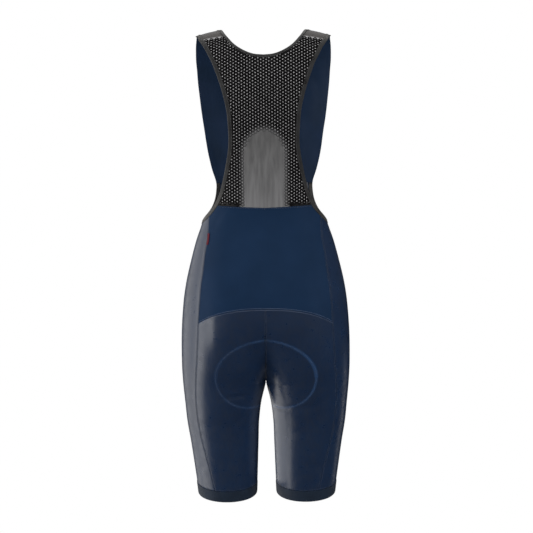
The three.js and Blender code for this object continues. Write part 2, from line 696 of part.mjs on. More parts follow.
// The gripper bands, closed rings whose lower edge dips at the back
function cuffGrid() {
  const halfCount = CUFF_COLUMNS / 2;
  return gridOf(2, CUFF_COLUMNS, (i, j) => {
    const over = j <= halfCount ? "back" : "front";
    const share = over === "back" ? j / halfCount : (CUFF_COLUMNS - j) / halfCount;
    const bow = Math.max(0, Math.sin(Math.PI * share)) ** HEM.fullness;
    const dip = (over === "back" ? HEM.backDip : HEM.frontDip) * bow;
    const top = CUFF_SEAM.flank + cuffDip(share, over) + SEAM_GAP / 2;
    const drop = top + (HEM.flank + dip - top) * (i / 2);
    return { round: middleLine(drop, over) * share, path: pathOf(drop) };
  });
}
for (const [side, hand] of HANDS) {
  addPiece("seat_" + side, wall([hand(seatPiece())], KNIT), NAVY_KNIT);
  addPiece("front_" + side, wall([hand(frontPiece())], KNIT), NAVY_KNIT);
  addPiece("side_" + side, wall([hand(sidePiece())], KNIT), NAVY_KNIT);
  addPiece("leg_gripper_" + side, wall([hand(cuffGrid())], GRIPPER, GRIPPER_PROUD), SLATE_GRIPPER);
}

// The seat pad, inside the seat and through the crotch. Each half has a back and a front part that
// meet at the inseam.
const padLevels = [
  PAD.level - PAD.up,
  ...PAD_TOP_LEVELS,
  ...LEG_LEVELS.filter((level) => level > PAD.frontTop && level < PAD.lowest),
  PAD.lowest,
];
const padAway = (drop) => (drop - PAD.level) / (drop < PAD.level ? PAD.up : PAD.down);
function padEdge(drop, reach) {
  const power = drop < PAD.level ? PAD.roundness : PAD.squareness;
  return reach * Math.max(0, 1 - padAway(drop) ** 2) ** power;
}
function padPart(over) {
  const reach = over === "back" ? PAD.backReach : PAD.frontReach;
  const start = over === "back" ? PAD.level - PAD.up : PAD.frontTop;
  const levels = padLevels.filter((level) => level >= start);
  const grid = gridOf(levels.length - 1, PAD_COLUMNS, (i, j) => {
    const inseam = halfSection(levels[i], over).points.at(-1)[0];
    const x = Math.max(inseam + PAD.narrowest, padEdge(levels[i], reach));
    const middle = middleLine(levels[i], over);
    const edge = roundAt(x, levels[i], over);
    return { round: middle + (edge - middle) * (j / PAD_COLUMNS), path: pathOf(levels[i]) };
  });
  grid.forEach((row, i) =>
    row.forEach((cell, j) => {
      const away = Math.min(1, (j / PAD_COLUMNS) ** 2 + padAway(levels[i]) ** 2 * PAD.endThinning);
      cell.depth = PAD.rim + PAD.loft * (1 - away);
      if (levels[i] <= CROTCH && j === 0) cell.point.x = 0;
    }),
  );
  return grid;
}
const padHalf = [padPart("back"), padPart("front")];
const copyDepth = (grid, from) => {
  grid.forEach((row, i) => row.forEach((cell, j) => (cell.depth = from[i][j].depth)));
  return grid;
};
const padGrids = [...padHalf, ...padHalf.map((grid) => copyDepth(mirrored(grid), grid))];
addPiece("seat_pad", wall(padGrids, PAD.loft, -PAD.standoff), BLUE_FOAM);

// The tab, folded flat on the yoke beside the left side seam
function tabGrid() {
  return gridOf(2, 1, (i, j) => {
    const drop = TAB.top + (TAB.height * i) / 2;
    return { round: sideSeam(drop, "back") + SEAM_GAP + j * TAB.width, path: pathOf(drop) };
  });
}
addPiece("side_tab", wall([tabGrid()], TAB.thickness, TAB.lift + TAB.thickness), RED_TAPE);

export default shorts;
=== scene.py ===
# %% [markdown]
# # Women's cycling bib shorts
#
# Bib shorts are cut from stretch cloth and worn tight, so nearly all of their look is the body
# they are shaped for, a few long seams, and what light does on the cloth. This lesson builds them
# over a imported frame of plain solids: each piece of cloth here stands for one solid and keeps to
# its place. We start by loading that frame and keeping its box.

# %% Load the frame
import math
from functools import partial

import bmesh
import bpy
import numpy as np
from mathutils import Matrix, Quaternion, Vector


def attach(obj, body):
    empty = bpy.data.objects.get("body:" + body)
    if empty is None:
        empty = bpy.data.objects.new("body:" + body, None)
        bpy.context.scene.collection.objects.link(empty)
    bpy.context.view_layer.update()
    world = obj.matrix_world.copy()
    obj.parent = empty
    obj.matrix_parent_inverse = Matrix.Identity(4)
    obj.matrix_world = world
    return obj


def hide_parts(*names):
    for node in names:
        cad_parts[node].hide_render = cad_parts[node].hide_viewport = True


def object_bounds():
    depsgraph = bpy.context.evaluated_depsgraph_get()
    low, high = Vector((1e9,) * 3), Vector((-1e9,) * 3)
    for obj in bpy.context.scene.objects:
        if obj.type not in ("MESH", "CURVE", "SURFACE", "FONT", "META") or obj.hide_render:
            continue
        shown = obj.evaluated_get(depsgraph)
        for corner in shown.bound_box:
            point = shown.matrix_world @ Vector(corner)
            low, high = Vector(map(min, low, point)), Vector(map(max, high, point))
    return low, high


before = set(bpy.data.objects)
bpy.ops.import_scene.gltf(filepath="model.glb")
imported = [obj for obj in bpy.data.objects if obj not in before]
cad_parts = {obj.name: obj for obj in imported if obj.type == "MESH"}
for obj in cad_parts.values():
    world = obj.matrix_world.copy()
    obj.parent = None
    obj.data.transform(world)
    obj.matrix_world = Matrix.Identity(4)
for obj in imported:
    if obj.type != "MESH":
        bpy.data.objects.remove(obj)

cad_low, cad_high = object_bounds()
MM = 0.001
scene = bpy.context.scene
print("solids in the frame:", len(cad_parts), "height", round(cad_high.z - cad_low.z, 3), "m")

# %% [markdown]
# ## The camera
#
# The picture was taken from behind the garment with a long lens, a little above its middle. The
# camera looks at a point beside the waist that falls in the centre of the picture, and the lens
# is worked out from how much of the scene the square picture takes in there.

# %% Place the camera
CAMERA_AIM = Vector((-0.0028, 0.0, -0.4594))
CAMERA_DISTANCE = 3.5
CAMERA_ELEVATION = math.radians(5)
VIEW_WIDTH = 1.0338  # width of the view at the garment, in metres
CAMERA_ROLL = math.radians(-0.45)
SENSOR = 36.0


def linked(name, data):
    """A new object with this data, linked to the scene."""
    obj = bpy.data.objects.new(name, data)
    scene.collection.objects.link(obj)
    return obj


def place_camera():
    data = bpy.data.cameras.new("back_camera")
    camera = linked("back_camera", data)
    back = Vector((0, math.cos(CAMERA_ELEVATION), math.sin(CAMERA_ELEVATION)))
    camera.location = CAMERA_AIM + back * CAMERA_DISTANCE
    camera.rotation_mode = "QUATERNION"
    level = (-back).to_track_quat("-Z", "Y")
    camera.rotation_quaternion = level @ Quaternion((0, 0, 1), CAMERA_ROLL)
    data.sensor_width = SENSOR
    data.lens = SENSOR * CAMERA_DISTANCE / VIEW_WIDTH
    scene.camera = camera
    return camera


camera = place_camera()
print("lens", round(camera.data.lens, 1), "mm")

# %% [markdown]
# ## Colours and nodes
#
# Colours are picked as sRGB hex values, the way a picture stores them, and one function turns
# them into the linear values that shaders add up. One more function adds a node to a tree: an
# input is either a plain value or the socket that feeds it.

# %% Colour and node helpers
def linear(hex_colour):
    """An sRGB hex colour as linear red, green, blue and alpha."""
    parts = [int(hex_colour[i : i + 2], 16) / 255 for i in (1, 3, 5)]
    return [c / 12.92 if c <= 0.04045 else ((c + 0.055) / 1.055) ** 2.4 for c in parts] + [1.0]


def add(tree, kind, inputs=None, **settings):
    """Adds a node to a tree. inputs maps a socket's name or number to a value or a socket."""
    made = tree.nodes.new(kind)
    for name, value in settings.items():
        setattr(made, name, value)
    for name, value in (inputs or {}).items():
        if isinstance(value, bpy.types.NodeSocket):
            tree.links.new(value, made.inputs[name])
        else:
            made.inputs[name].default_value = value
    return made


def maths(tree, operation, first, second=0.0):
    """The result of a Math node, from two values or sockets."""
    return add(tree, "ShaderNodeMath", {0: first, 1: second}, operation=operation).outputs[0]


def empty_tree(owner):
    """The node tree of a world or a material, without its first nodes."""
    owner.use_nodes = True
    owner.node_tree.nodes.clear()
    return owner.node_tree


print("navy", [round(c, 4) for c in linear("#1d2b42")])

# %% [markdown]
# ## The stage
#
# A plain pale floor lies well below the hem, because the wearer's shoulders hold this garment
# up. The backdrop is white to the eye. The light that reaches the cloth is dimmer than that white,
# or the navy would look washed out, so the world and the floor are bright only where the viewer
# looks straight at them. Two softboxes beside the garment draw the long sheen down its left side.
# The others light its edges, its top and its front, and fill the right side without a gloss. A
# small card between the legs lights the inner side of one of them. None of them is in view.

# %% Floor, world and lights
FLOOR_LEVEL = -1.95
FLOOR_SIZE = 60.0
WHITE, FLOOR_GREY = (1, 1, 1, 1), (0.45, 0.45, 0.45, 1)
BACKDROP = 1.0
ROOM_LIGHT, ROOM_GLOSS = 0.78, 0.02  # the world as the cloth's diffuse and glossy rays meet it
LIGHT_COLOUR = (1.0, 0.975, 0.93)
SOFTBOXES = [
    # name, angle from the camera towards the wearer's left, height, distance, width, tall,
    # brightness of its face, and whether the gloss of the cloth shows it
    ("sheen_softbox", 79, 0.2, 2.2, 2.0, 1.9, 1.65),
    ("low_sheen_softbox", 91, -1.1, 2.2, 1.5, 0.7, 1.65),
    ("edge_softbox", 128, -0.15, 2.4, 1.6, 2.6, 0.9),
    ("top_softbox", 0, 2.6, 1.2, 2.4, 2.0, 0.7),
    ("right_edge_strip", -132, -0.95, 2.4, 0.3, 0.7, 0.7),
    ("front_top_softbox", 180, 2.4, 1.8, 2.2, 1.6, 1.0),
    ("right_fill", -60, 0.6, 2.8, 2.2, 2.2, 1.3, False),
]
CARD_PLACE, CARD_FACES = Vector((0.012, 0.012, -0.79)), Vector((-1, 0.04, 0))
CARD_WIDTH, CARD_TALL, CARD_BRIGHTNESS = 0.1, 0.2, 1.0


def seen_white(tree, dim, strength):
    """White where the viewer looks straight at it, and the given shader for all other light."""
    white = add(tree, "ShaderNodeBackground" if dim.type == "BACKGROUND" else "ShaderNodeEmission",
                {"Color": WHITE, "Strength": strength})
    ray = add(tree, "ShaderNodeLightPath")
    return add(tree, "ShaderNodeMixShader", {0: ray.outputs["Is Camera Ray"],
                                             1: dim.outputs[0], 2: white.outputs[0]})


def make_world():
    world = bpy.data.worlds.new("white_room")
    scene.world = world
    tree = empty_tree(world)
    ray = add(tree, "ShaderNodeLightPath")
    light = add(tree, "ShaderNodeMix", {0: ray.outputs["Is Glossy Ray"],
                                        2: ROOM_LIGHT, 3: ROOM_GLOSS})
    dim = add(tree, "ShaderNodeBackground", {"Color": WHITE, "Strength": light.outputs[0]})
    mixed = seen_white(tree, dim, BACKDROP)
    add(tree, "ShaderNodeOutputWorld", {"Surface": mixed.outputs[0]})


def make_floor():
    mesh = bpy.data.meshes.new("floor")
    half = FLOOR_SIZE / 2
    corners = [(-half, -half), (half, -half), (half, half), (-half, half)]
    mesh.from_pydata([(x, y, FLOOR_LEVEL) for x, y in corners], [], [(0, 1, 2, 3)])
    floor = linked("floor", mesh)
    paint = bpy.data.materials.new("pale_floor")
    tree = empty_tree(paint)
    pale = add(tree, "ShaderNodeBsdfDiffuse", {"Color": FLOOR_GREY})
    dark = add(tree, "ShaderNodeEmission", {"Strength": 0.0})
    ray = add(tree, "ShaderNodeLightPath")
    dim = add(tree, "ShaderNodeMixShader", {0: ray.outputs["Is Glossy Ray"], 1: pale.outputs[0],
                                            2: dark.outputs[0]})
    mixed = seen_white(tree, dim, BACKDROP)
    add(tree, "ShaderNodeOutputMaterial", {"Surface": mixed.outputs[0]})
    mesh.materials.append(paint)


def area_light(name, place, towards, width, tall, brightness, glossy=True):
    """A rectangle of light that the viewer doesn't see; brightness is that of its face."""
    data = bpy.data.lights.new(name, "AREA")
    data.shape, data.size, data.size_y = "RECTANGLE", width, tall
    data.energy = brightness * math.pi * width * tall
    data.color = LIGHT_COLOUR
    light = linked(name, data)
    light.visible_camera, light.visible_glossy = False, glossy
    light.location = place
    light.rotation_mode = "QUATERNION"
    light.rotation_quaternion = (towards - place).to_track_quat("-Z", "Y")


def make_softbox(name, angle, height, distance, width, tall, brightness, glossy=True):
    turn = math.radians(angle)
    middle = (cad_low + cad_high) / 2
    away = Vector((math.sin(turn) * distance, math.cos(turn) * distance, height))
    area_light(name, middle + away, middle, width, tall, brightness, glossy)


make_world()
make_floor()
for row in SOFTBOXES:
    make_softbox(*row)
area_light("card_between_legs", CARD_PLACE, CARD_PLACE + CARD_FACES, CARD_WIDTH, CARD_TALL,
           CARD_BRIGHTNESS)
scene.view_settings.view_transform = "Standard"
print("softboxes:", len(SOFTBOXES))

# %% [markdown]
# ## The figure under the cloth
#
# Every panel lies on one smooth figure. Level sections describe it: for each drop below the
# shoulders, the half width, the place where the section is deepest, its depths in front and
# behind, and the inside of the leg. A place on it is then named by two lengths: how far round
# the section it lies from the flank, and how far down the body. These are the sizes that the
# solids were made from, in millimetres, here worked out for whole arrays of places at once.

# %% Sizes of the figure
CROTCH, RISE_HEIGHT, FLATTEST = 680, 160, 0.9995
SHOULDER_ROUND, SHOULDER_DROP, SHOULDER_REACH, SHOULDER_CURVE = 60, 16.5, 131, 3
SLOPE_FADES_BY = 160
SECTIONS = np.array([
    # drop, outer, middle, front, back, centre, inseam
    (0, 185, 60, -62, 76, 6, 0),
    (60, 170, 60, -74, 84, 4, 0),
    (110, 156, 50, -94, 90, 2, 0),
    (176, 142, 42, -108, 88, 0, 0),
    (234, 130, 34, -100, 79, 0, 0),
    (290, 121, 28, -90, 71, 0, 0),
    (335, 117, 25, -86, 68, 0, 0),
    (370, 120.5, 27, -88, 72, 0, 0),
    (409, 133.3, 32, -93, 84, 0, 0),
    (449, 144, 38, -97, 98, 0, 0),
    (488, 153, 46, -97, 111, 0, 0),
    (527, 158.8, 54, -96, 119, 0, 0),
    (585, 162.9, 64, -94, 121, 0, 0),
    (643, 163.2, 75, -92, 109, 2, 0),
    (680, 161.4, 80.7, -90, 98, 4, 0),
    (721, 157.6, 83.5, -90, 89, 3, 9.4),
    (760, 153.8, 83.4, -88, 82, 0, 14.2),
    (799, 147.5, 80.8, -84, 76, -2, 15.6),
    (838, 141.9, 78.5, -80, 71, -3, 17),
    (877, 136.6, 76.5, -76, 67, -4, 18.4),
    (915, 132, 75, -73, 64, -4, 20),
], dtype=float)
SIDE_SEAM = np.array([
    # drop, distance from the middle of the garment
    (360, 107), (399, 109), (427, 114), (461, 118), (493, 122.5), (555, 127), (613, 130),
    (675, 134), (710, 134.5), (741, 132), (777, 126.5), (805, 120), (847, 108.5), (890, 97),
], dtype=float)
print("sections:", len(SECTIONS))

# %% Smooth sections
def smooth_column(table, column, at):
    """One column of a table at any drop, as a smooth curve through its rows."""
    drops, values = table[:, 0], table[:, column]
    i = np.clip(np.searchsorted(drops, at, side="right") - 1, 0, len(drops) - 2)
    slopes = np.empty_like(values)
    slopes[1:-1] = (values[2:] - values[:-2]) / (drops[2:] - drops[:-2])
    slopes[0] = (values[1] - values[0]) / (drops[1] - drops[0])
    slopes[-1] = (values[-1] - values[-2]) / (drops[-1] - drops[-2])
    span = drops[i + 1] - drops[i]
    t = np.clip((at - drops[i]) / span, 0, 1)
    straight = values[i] + (values[i + 1] - values[i]) * t * t * (3 - 2 * t)
    return straight + span * t * (1 - t) * ((1 - t) * slopes[i] - t * slopes[i + 1])


ROUND_END = SHOULDER_ROUND * math.pi / 2


def drop_of(path):
    """The drop below the shoulders at a distance down the cloth, round the shoulder first."""
    turn = np.clip(path, 0, ROUND_END) / SHOULDER_ROUND
    return SHOULDER_ROUND * (1 - np.cos(turn)) + np.maximum(path - ROUND_END, 0)


def path_of(drop):
    turn = np.arccos(1 - np.clip(drop, 0, SHOULDER_ROUND) / SHOULDER_ROUND)
    return SHOULDER_ROUND * turn + np.maximum(drop - SHOULDER_ROUND, 0)


ARC_STEPS = 26
FIRST_ANGLES = np.linspace(0, math.pi / 2, ARC_STEPS + 1)


def section(drop, front):
    """Sizes, angles and distances from the flank of the half sections at an array of drops."""
    outer, middle, front_deep, back_deep, centre, inseam = [
        smooth_column(SECTIONS, column, drop) for column in range(1, SECTIONS.shape[1])]
    roundness = np.where(drop < SHOULDER_ROUND, np.sin(path_of(drop) / SHOULDER_ROUND), 1)
    above = CROTCH - drop
    lift = np.sqrt(np.sin(np.clip(above / RISE_HEIGHT, 0, 1) * math.pi / 2))
    flat = np.minimum(FLATTEST, lift)
    inner = np.where(above > 0, middle / np.sqrt(1 - flat * flat), middle - np.maximum(0, inseam))
    sizes = {"middle": middle, "centre": centre, "reach": outer - middle, "inner": inner,
             "depth": (np.where(front, front_deep, back_deep) - centre) * roundness}
    end = math.pi - np.where(above > 0, np.arccos(np.minimum(1, middle / inner)), 0)
    second = math.pi / 2 + (end - math.pi / 2)[:, None] * np.arange(1, ARC_STEPS + 1) / ARC_STEPS
    first = np.broadcast_to(FIRST_ANGLES, (len(drop), ARC_STEPS + 1))
    angles = np.concatenate([first, second], axis=1)
    x, y = on_section(sizes, angles)
    steps = np.hypot(np.diff(x, axis=1), np.diff(y, axis=1))
    distances = np.concatenate([np.zeros((len(drop), 1)), np.cumsum(steps, axis=1)], axis=1)
    return sizes, angles, x, distances


def on_section(sizes, angles):
    columns = {name: values[:, None] for name, values in sizes.items()}
    reach = np.where(angles <= math.pi / 2, columns["reach"], columns["inner"])
    x = columns["middle"] + reach * np.cos(angles)
    y = columns["centre"] + columns["depth"] * np.sin(angles)
    return x, y


def look_up(keys, values, at):
    """For each row, the value where its rising keys reach the number given for it."""
    i = np.clip((keys < at[:, None]).sum(axis=1), 1, keys.shape[1] - 1)
    rows = np.arange(len(at))
    low, high = keys[rows, i - 1], keys[rows, i]
    t = np.clip((at - low) / np.where(high > low, high - low, 1), 0, 1)
    return values[rows, i - 1] * (1 - t) + values[rows, i] * t


def by_chunks(work, *arrays, size=20000):
    """Runs work on flat arrays, a chunk at a time, and gives its result back in their shape."""
    arrays = np.broadcast_arrays(*arrays)
    shape = arrays[0].shape
    flat = [np.asarray(a).reshape(-1) for a in arrays]
    parts = [work(*[a[i : i + size] for a in flat]) for i in range(0, max(1, len(flat[0])), size)]
    result = np.concatenate(parts)
    return result.reshape(shape + result.shape[1:])


def middle_line(drop, front):
    """How far round from the flank the middle of the front or back lies, negative in front."""
    sign = -1.0 if front else 1.0
    return by_chunks(lambda d: sign * section(d, front)[3][:, -1], np.asarray(drop, float))


def either_middle(drop, front):
    """The same for an array that says which places are in front."""
    return np.where(front, middle_line(drop, True), middle_line(drop, False))


def round_at(x, drop, front):
    """How far round from the flank a given x lies."""
    def work(x, drop):
        _, _, across, distances = section(drop, front)
        return look_up(-across, distances, -x) * (-1.0 if front else 1.0)
    return by_chunks(work, np.asarray(x, float), np.asarray(drop, float))


def spot(around, path):
    """Points of the figure's left half, in millimetres."""
    def work(around, path):
        drop = drop_of(path)
        sizes, angles, _, distances = section(drop, around < 0)
        at = np.minimum(np.abs(around), distances[:, -1])
        x, y = on_section(sizes, look_up(distances, angles, at)[:, None])
        fade = np.maximum(0, 1 - drop / SLOPE_FADES_BY) ** 2
        fall = SHOULDER_DROP * (x[:, 0] / SHOULDER_REACH) ** SHOULDER_CURVE * fade
        return np.stack([x[:, 0], y[:, 0], -drop - fall], axis=1)
    return by_chunks(work, np.asarray(around, float), np.asarray(path, float))


def unit(vectors):
    return vectors / np.maximum(np.linalg.norm(vectors, axis=-1, keepdims=True), 1e-12)


def on_side(vectors, side):
    """Points or directions of the left half, brought to the wearer's left (1) or right (-1)."""
    return vectors * np.array([side, 1, 1])


PROBE = 0.4  # distance between the two places that a slope is measured from


def slopes_at(around, path):
    """How a point moves for each millimetre round and for each millimetre down."""
    inward = np.where(around > 0, -PROBE, PROBE)
    here = spot(around, path)
    per_round = (spot(around + inward, path) - here) / inward[..., None]
    per_path = (spot(around, path + PROBE) - here) / PROBE
    return here, per_round, per_path


def cloth(around, path):
    """Points and outward directions of places on the figure."""
    around, path = np.broadcast_arrays(np.asarray(around, float), np.asarray(path, float))
    here, per_round, per_path = slopes_at(around, path)
    out = unit(np.cross(per_path, per_round))
    on_middle = np.abs(here[..., 0]) < 0.01
    out[..., 0] = np.where(on_middle, 0, out[..., 0])
    return here, unit(out)


test_point, test_out = cloth(np.array([0.0, 60.0, -60.0]), path_of(np.array([500.0] * 3)))
print("flank, back, front:", test_point.round(0).tolist(), test_out.round(2).tolist())

# %% [markdown]
# ## Edges and seams
#
# The armhole and the neck are smooth curves through a few measured places. The curve is kept as
# a fine chain of points with the length along it, so that anything beside it, such as a trim or
# a row of stitches, can be set off from it by an exact distance on the curved cloth.

# %% Curves on the cloth
ARMHOLE_TRIM_WIDTH, NECK_TRIM_WIDTH = 8.0, 6.0
BACK_WAIST_MIDDLE, BACK_WAIST_END, FRONT_WAIST = 342, 338, 300
ARMHOLE = [
    # over, x, drop
    ("back", 129.5, 0), ("back", 124, 10), ("back", 117.5, 22), ("back", 109.5, 38),
    ("back", 99.5, 60), ("back", 91, 82), ("back", 83.5, 105), ("back", 76.5, 129),
    ("back", 71, 154), ("back", 68.5, 178), ("back", 67, 207), ("back", 69, 238),
    ("back", 73.5, 263), ("back", 79, 289), ("back", 85, 312), ("back", 96, 336),
    ("back", 106, 350), ("back", 115, 361), ("flank", 0, 368), ("front", 115, 361),
    ("front", 106, 350), ("front", 98.5, 334), ("front", 95, 316), ("front", 94.8, 298),
    ("front", 102.5, 272), ("front", 110.9, 234), ("front", 117.7, 190), ("front", 123.3, 150),
    ("front", 127.5, 110), ("front", 130.2, 70), ("front", 131.4, 36), ("front", 129.5, 0),
]
BACK_NECK = [
    ("back", 84, 0), ("back", 74, 8), ("back", 66, 19), ("back", 54, 32.5), ("back", 37, 44),
    ("back", 19, 51), ("back", 0, 53),
]
FRONT_NECK = [
    ("front", 84, 0), ("front", 83, 40), ("front", 80, 80), ("front", 73, 118),
    ("front", 60, 150), ("front", 42, 173), ("front", 21, 186), ("front", 0, 190),
]
SAMPLES_PER_SPAN = 60


class Edge:
    """A smooth centripetal curve in distance round and distance down, with its length.

    turn is 1 or -1, for the side of the curve that the cloth lies on.
    """

    def __init__(self, rows, turn):
        self.turn = turn
        places = []
        for over, x, drop in rows:
            on_flank = over == "flank"
            around = 0.0 if on_flank else float(round_at(x, drop, over == "front"))
            places.append((around, float(path_of(drop))))
        p = np.array(places)
        p = np.vstack([2 * p[0] - p[1], p, 2 * p[-1] - p[-2]])
        chain = [self.span(*p[i : i + 4]) for i in range(len(p) - 3)]
        self.points = np.vstack([c[:-1] for c in chain] + [p[-2]])
        steps = np.linalg.norm(np.diff(self.points, axis=0), axis=1)
        self.length = steps.sum()
        self.share = np.concatenate([[0], np.cumsum(steps)]) / self.length

    @staticmethod
    def span(p0, p1, p2, p3):
        gaps = [max(np.linalg.norm(b - a), 1e-6) ** 0.5 for a, b in ((p0, p1), (p1, p2), (p2, p3))]
        a, b, c = gaps
        start = ((p1 - p0) / a - (p2 - p0) / (a + b) + (p2 - p1) / b) * b
        stop = ((p2 - p1) / b - (p3 - p1) / (b + c) + (p3 - p2) / c) * b
        t = np.linspace(0, 1, SAMPLES_PER_SPAN + 1)[:, None]
        cubic = 2 * p1 - 2 * p2 + start + stop
        square = -3 * p1 + 3 * p2 - 2 * start - stop
        return p1 + start * t + square * t**2 + cubic * t**3

    def at(self, t):
        return tuple(np.interp(t, self.share, self.points[:, k]) for k in (0, 1))

    def inside(self, t, distance):
        """Places beside the edge, a distance into the cloth at right angles to it."""
        t, turn = np.asarray(t, float), self.turn
        around, path = self.at(t)
        before, after = self.at(np.clip(t - 1e-3, 0, 1)), self.at(np.clip(t + 1e-3, 0, 1))
        along = unit(np.stack([after[0] - before[0], after[1] - before[1]], axis=-1))
        _, per_round, per_path = slopes_at(around, path)
        out = unit(np.cross(per_path, per_round))
        edge = per_round * along[..., :1] + per_path * along[..., 1:]
        across = unit(np.cross(out, edge)) * np.asarray(distance, float)[..., None] * turn
        a, b, c = [(p * q).sum(-1) for p, q in
                   ((per_round, per_round), (per_round, per_path), (per_path, per_path))]
        u, v = (across * per_round).sum(-1), (across * per_path).sum(-1)
        size = a * c - b * b
        square_end = path < PROBE
        step_round = np.where(square_end, turn * np.sign(along[..., 1]) * distance,
                              (c * u - b * v) / size)
        step_path = np.where(square_end, 0, (a * v - b * u) / size)
        return around + step_round, np.maximum(path + step_path, 0)


armhole, back_neck, front_neck = Edge(ARMHOLE, 1), Edge(BACK_NECK, -1), Edge(FRONT_NECK, 1)


def side_seam(drop, front):
    return round_at(smooth_column(SIDE_SEAM, 1, drop), drop, front)


CROSSING_STEPS = 1500
BACK_STRAP_ENDS, FRONT_STRAP_ENDS = 64, 205  # drops where the straps have joined


def crossing(low, high, measure):
    """Where along an edge a measure of it changes sign, between two shares of its length."""
    t = np.linspace(low, high, CROSSING_STEPS)
    signs = np.sign(measure(t))
    i = np.flatnonzero(signs[:-1] != signs[1:])[0]
    return float((t[i] + t[i + 1]) / 2)


def level_miss(drop):
    return lambda t: drop_of(armhole.inside(t, ARMHOLE_TRIM_WIDTH)[1]) - drop


def seam_miss(front):
    def measure(t):
        around, path = armhole.inside(t, ARMHOLE_TRIM_WIDTH)
        return around - side_seam(drop_of(path), front)
    return measure


bottom = crossing(0.3, 0.7, lambda t: armhole.at(t)[0])
strap_end = crossing(0.01, 0.3, level_miss(BACK_STRAP_ENDS))
waist_end = crossing(0.1, bottom, level_miss(BACK_WAIST_END))
back_seam_top = crossing(waist_end, bottom, seam_miss(False))
front_seam_top = crossing(bottom, 0.6, seam_miss(True))
front_waist_end = crossing(front_seam_top + 0.01, 0.8, level_miss(FRONT_WAIST))
bib_strap_end = crossing(front_waist_end + 0.02, 0.99, level_miss(FRONT_STRAP_ENDS))
print("armhole length", round(armhole.length), "mm; waist ends at", round(waist_end, 3))

# %% [markdown]
# ## Creases
#
# Tight stretch cloth hardly folds, but it does pull: under the seat, at the crotch, beside the
# waist and along the straps. Each crease is listed with its own length, width and depth, as a
# soft trough with low banks, and it bends a little. None repeats another.

# %% Creases, listed one by one
CREASES = [
    # side (+1 wearer's left), over, x, drop, angle from level, length, width, depth, bend
    (1, "back", 56, 700, -3, 24, 4.0, 1.7, 3),
    (-1, "back", 78, 722, 10, 40, 7.0, 0.8, -6),
    (1, "back", 44, 742, -32, 28, 6.0, 0.9, 4),
    (-1, "back", 31, 729, 7, 17, 3.4, 1.5, -2),
    (1, "back", 92, 756, 8, 30, 8.0, 0.4, 4),
    (-1, "back", 64, 772, -12, 36, 9.0, 0.4, 3),
    (1, "back", 70, 828, 20, 34, 9.0, 0.6, 3),
    (-1, "back", 92, 842, -14, 28, 8.0, 0.6, -3),
    (1, "back", 30, 606, 62, 44, 9.0, 1.1, 5),
    (-1, "back", 34, 618, 118, 40, 8.0, 0.9, -4),
    (1, "back", 112, 556, 78, 50, 9.0, 0.8, 4),
    (-1, "back", 108, 530, 100, 46, 10.0, 0.7, -5),
    (1, "back", 60, 396, 82, 46, 12.0, 0.8, 3),
    (-1, "back", 48, 420, 96, 52, 12.0, 0.9, -4),
    (-1, "back", 84, 378, 70, 28, 7.0, 0.8, 3),
    (1, "back", 92, 368, 118, 24, 6.0, 0.8, -2),
    (1, "back", 30, 96, 58, 46, 10.0, 1.6, 6),
    (1, "back", 62, 70, 66, 34, 8.0, 1.2, 4),
    (-1, "back", 44, 86, 128, 50, 9.0, 1.5, -7),
    (-1, "back", 74, 58, 112, 30, 7.0, 1.0, 3),
    (1, "back", 50, 178, 84, 44, 9.0, 0.9, 3),
    (-1, "back", 54, 200, 98, 40, 8.0, 0.8, -3),
    (-1, "back", 22, 300, 90, 36, 10.0, 0.6, 2),
    (1, "front", 24, 650, 48, 48, 7.0, 2.0, 6),
    (-1, "front", 28, 644, 134, 44, 6.5, 1.8, -5),
    (1, "front", 44, 676, 30, 42, 6.0, 1.7, 5),
    (-1, "front", 50, 682, 152, 46, 6.5, 1.6, -6),
    (1, "front", 84, 700, 16, 38, 7.0, 1.1, 4),
    (-1, "front", 90, 706, 168, 34, 7.0, 1.0, -4),
    (1, "front", 70, 770, -10, 30, 8.0, 0.7, 3),
    (-1, "front", 64, 790, 8, 34, 8.0, 0.7, -3),
    (1, "front", 74, 352, 64, 34, 8.0, 1.0, 4),
    (-1, "front", 70, 340, 118, 38, 8.0, 1.0, -4),
    (1, "front", 30, 424, 8, 54, 12.0, 0.9, 4),
    (-1, "front", 26, 470, -6, 60, 12.0, 0.8, -4),
    (1, "front", 86, 232, 70, 52, 10.0, 1.5, 6),
    (-1, "front", 92, 218, 108, 56, 10.0, 1.6, -6),
    (1, "front", 104, 140, 80, 44, 8.0, 1.2, 4),
    (-1, "front", 108, 120, 98, 48, 8.0, 1.2, -5),
    (1, "front", 148, 620, 76, 60, 10.0, 0.8, 4),
    (-1, "front", 150, 590, 104, 56, 10.0, 0.8, -4),
    (1, "front", 140, 720, 20, 26, 7.0, 0.8, 3),
    (-1, "front", 138, 734, 160, 30, 7.0, 0.8, -3),
]
BANK_SHARE, BANK_DISTANCE = 0.35, 1.9  # the banks' share of the depth, and their place in widths
REACH_THROUGH = 45.0  # a crease fades out this far through the garment, and spares its other side


def crease_frames():
    """Each crease's middle, and the directions along it, across it and out of the cloth."""
    made = []
    for side, over, x, drop, angle, length, width, depth, bend in CREASES:
        front = over == "front"
        around = round_at(x, drop, front)
        here, per_round, per_path = slopes_at(np.asarray(around), np.asarray(path_of(drop)))
        out = unit(np.cross(per_path, per_round))
        level = unit(np.cross(out, (0.0, 0.0, 1.0)))
        level *= np.sign(level[0]) or 1
        up = np.cross(level, out) * np.sign(np.cross(level, out)[2])
        turn = math.radians(angle)
        axes = np.array([level * math.cos(turn) + up * math.sin(turn),
                         up * math.cos(turn) - level * math.sin(turn), out])
        made.append((on_side(here, side), on_side(axes, side), length, width, depth, bend))
    return made


FRAMES = crease_frames()


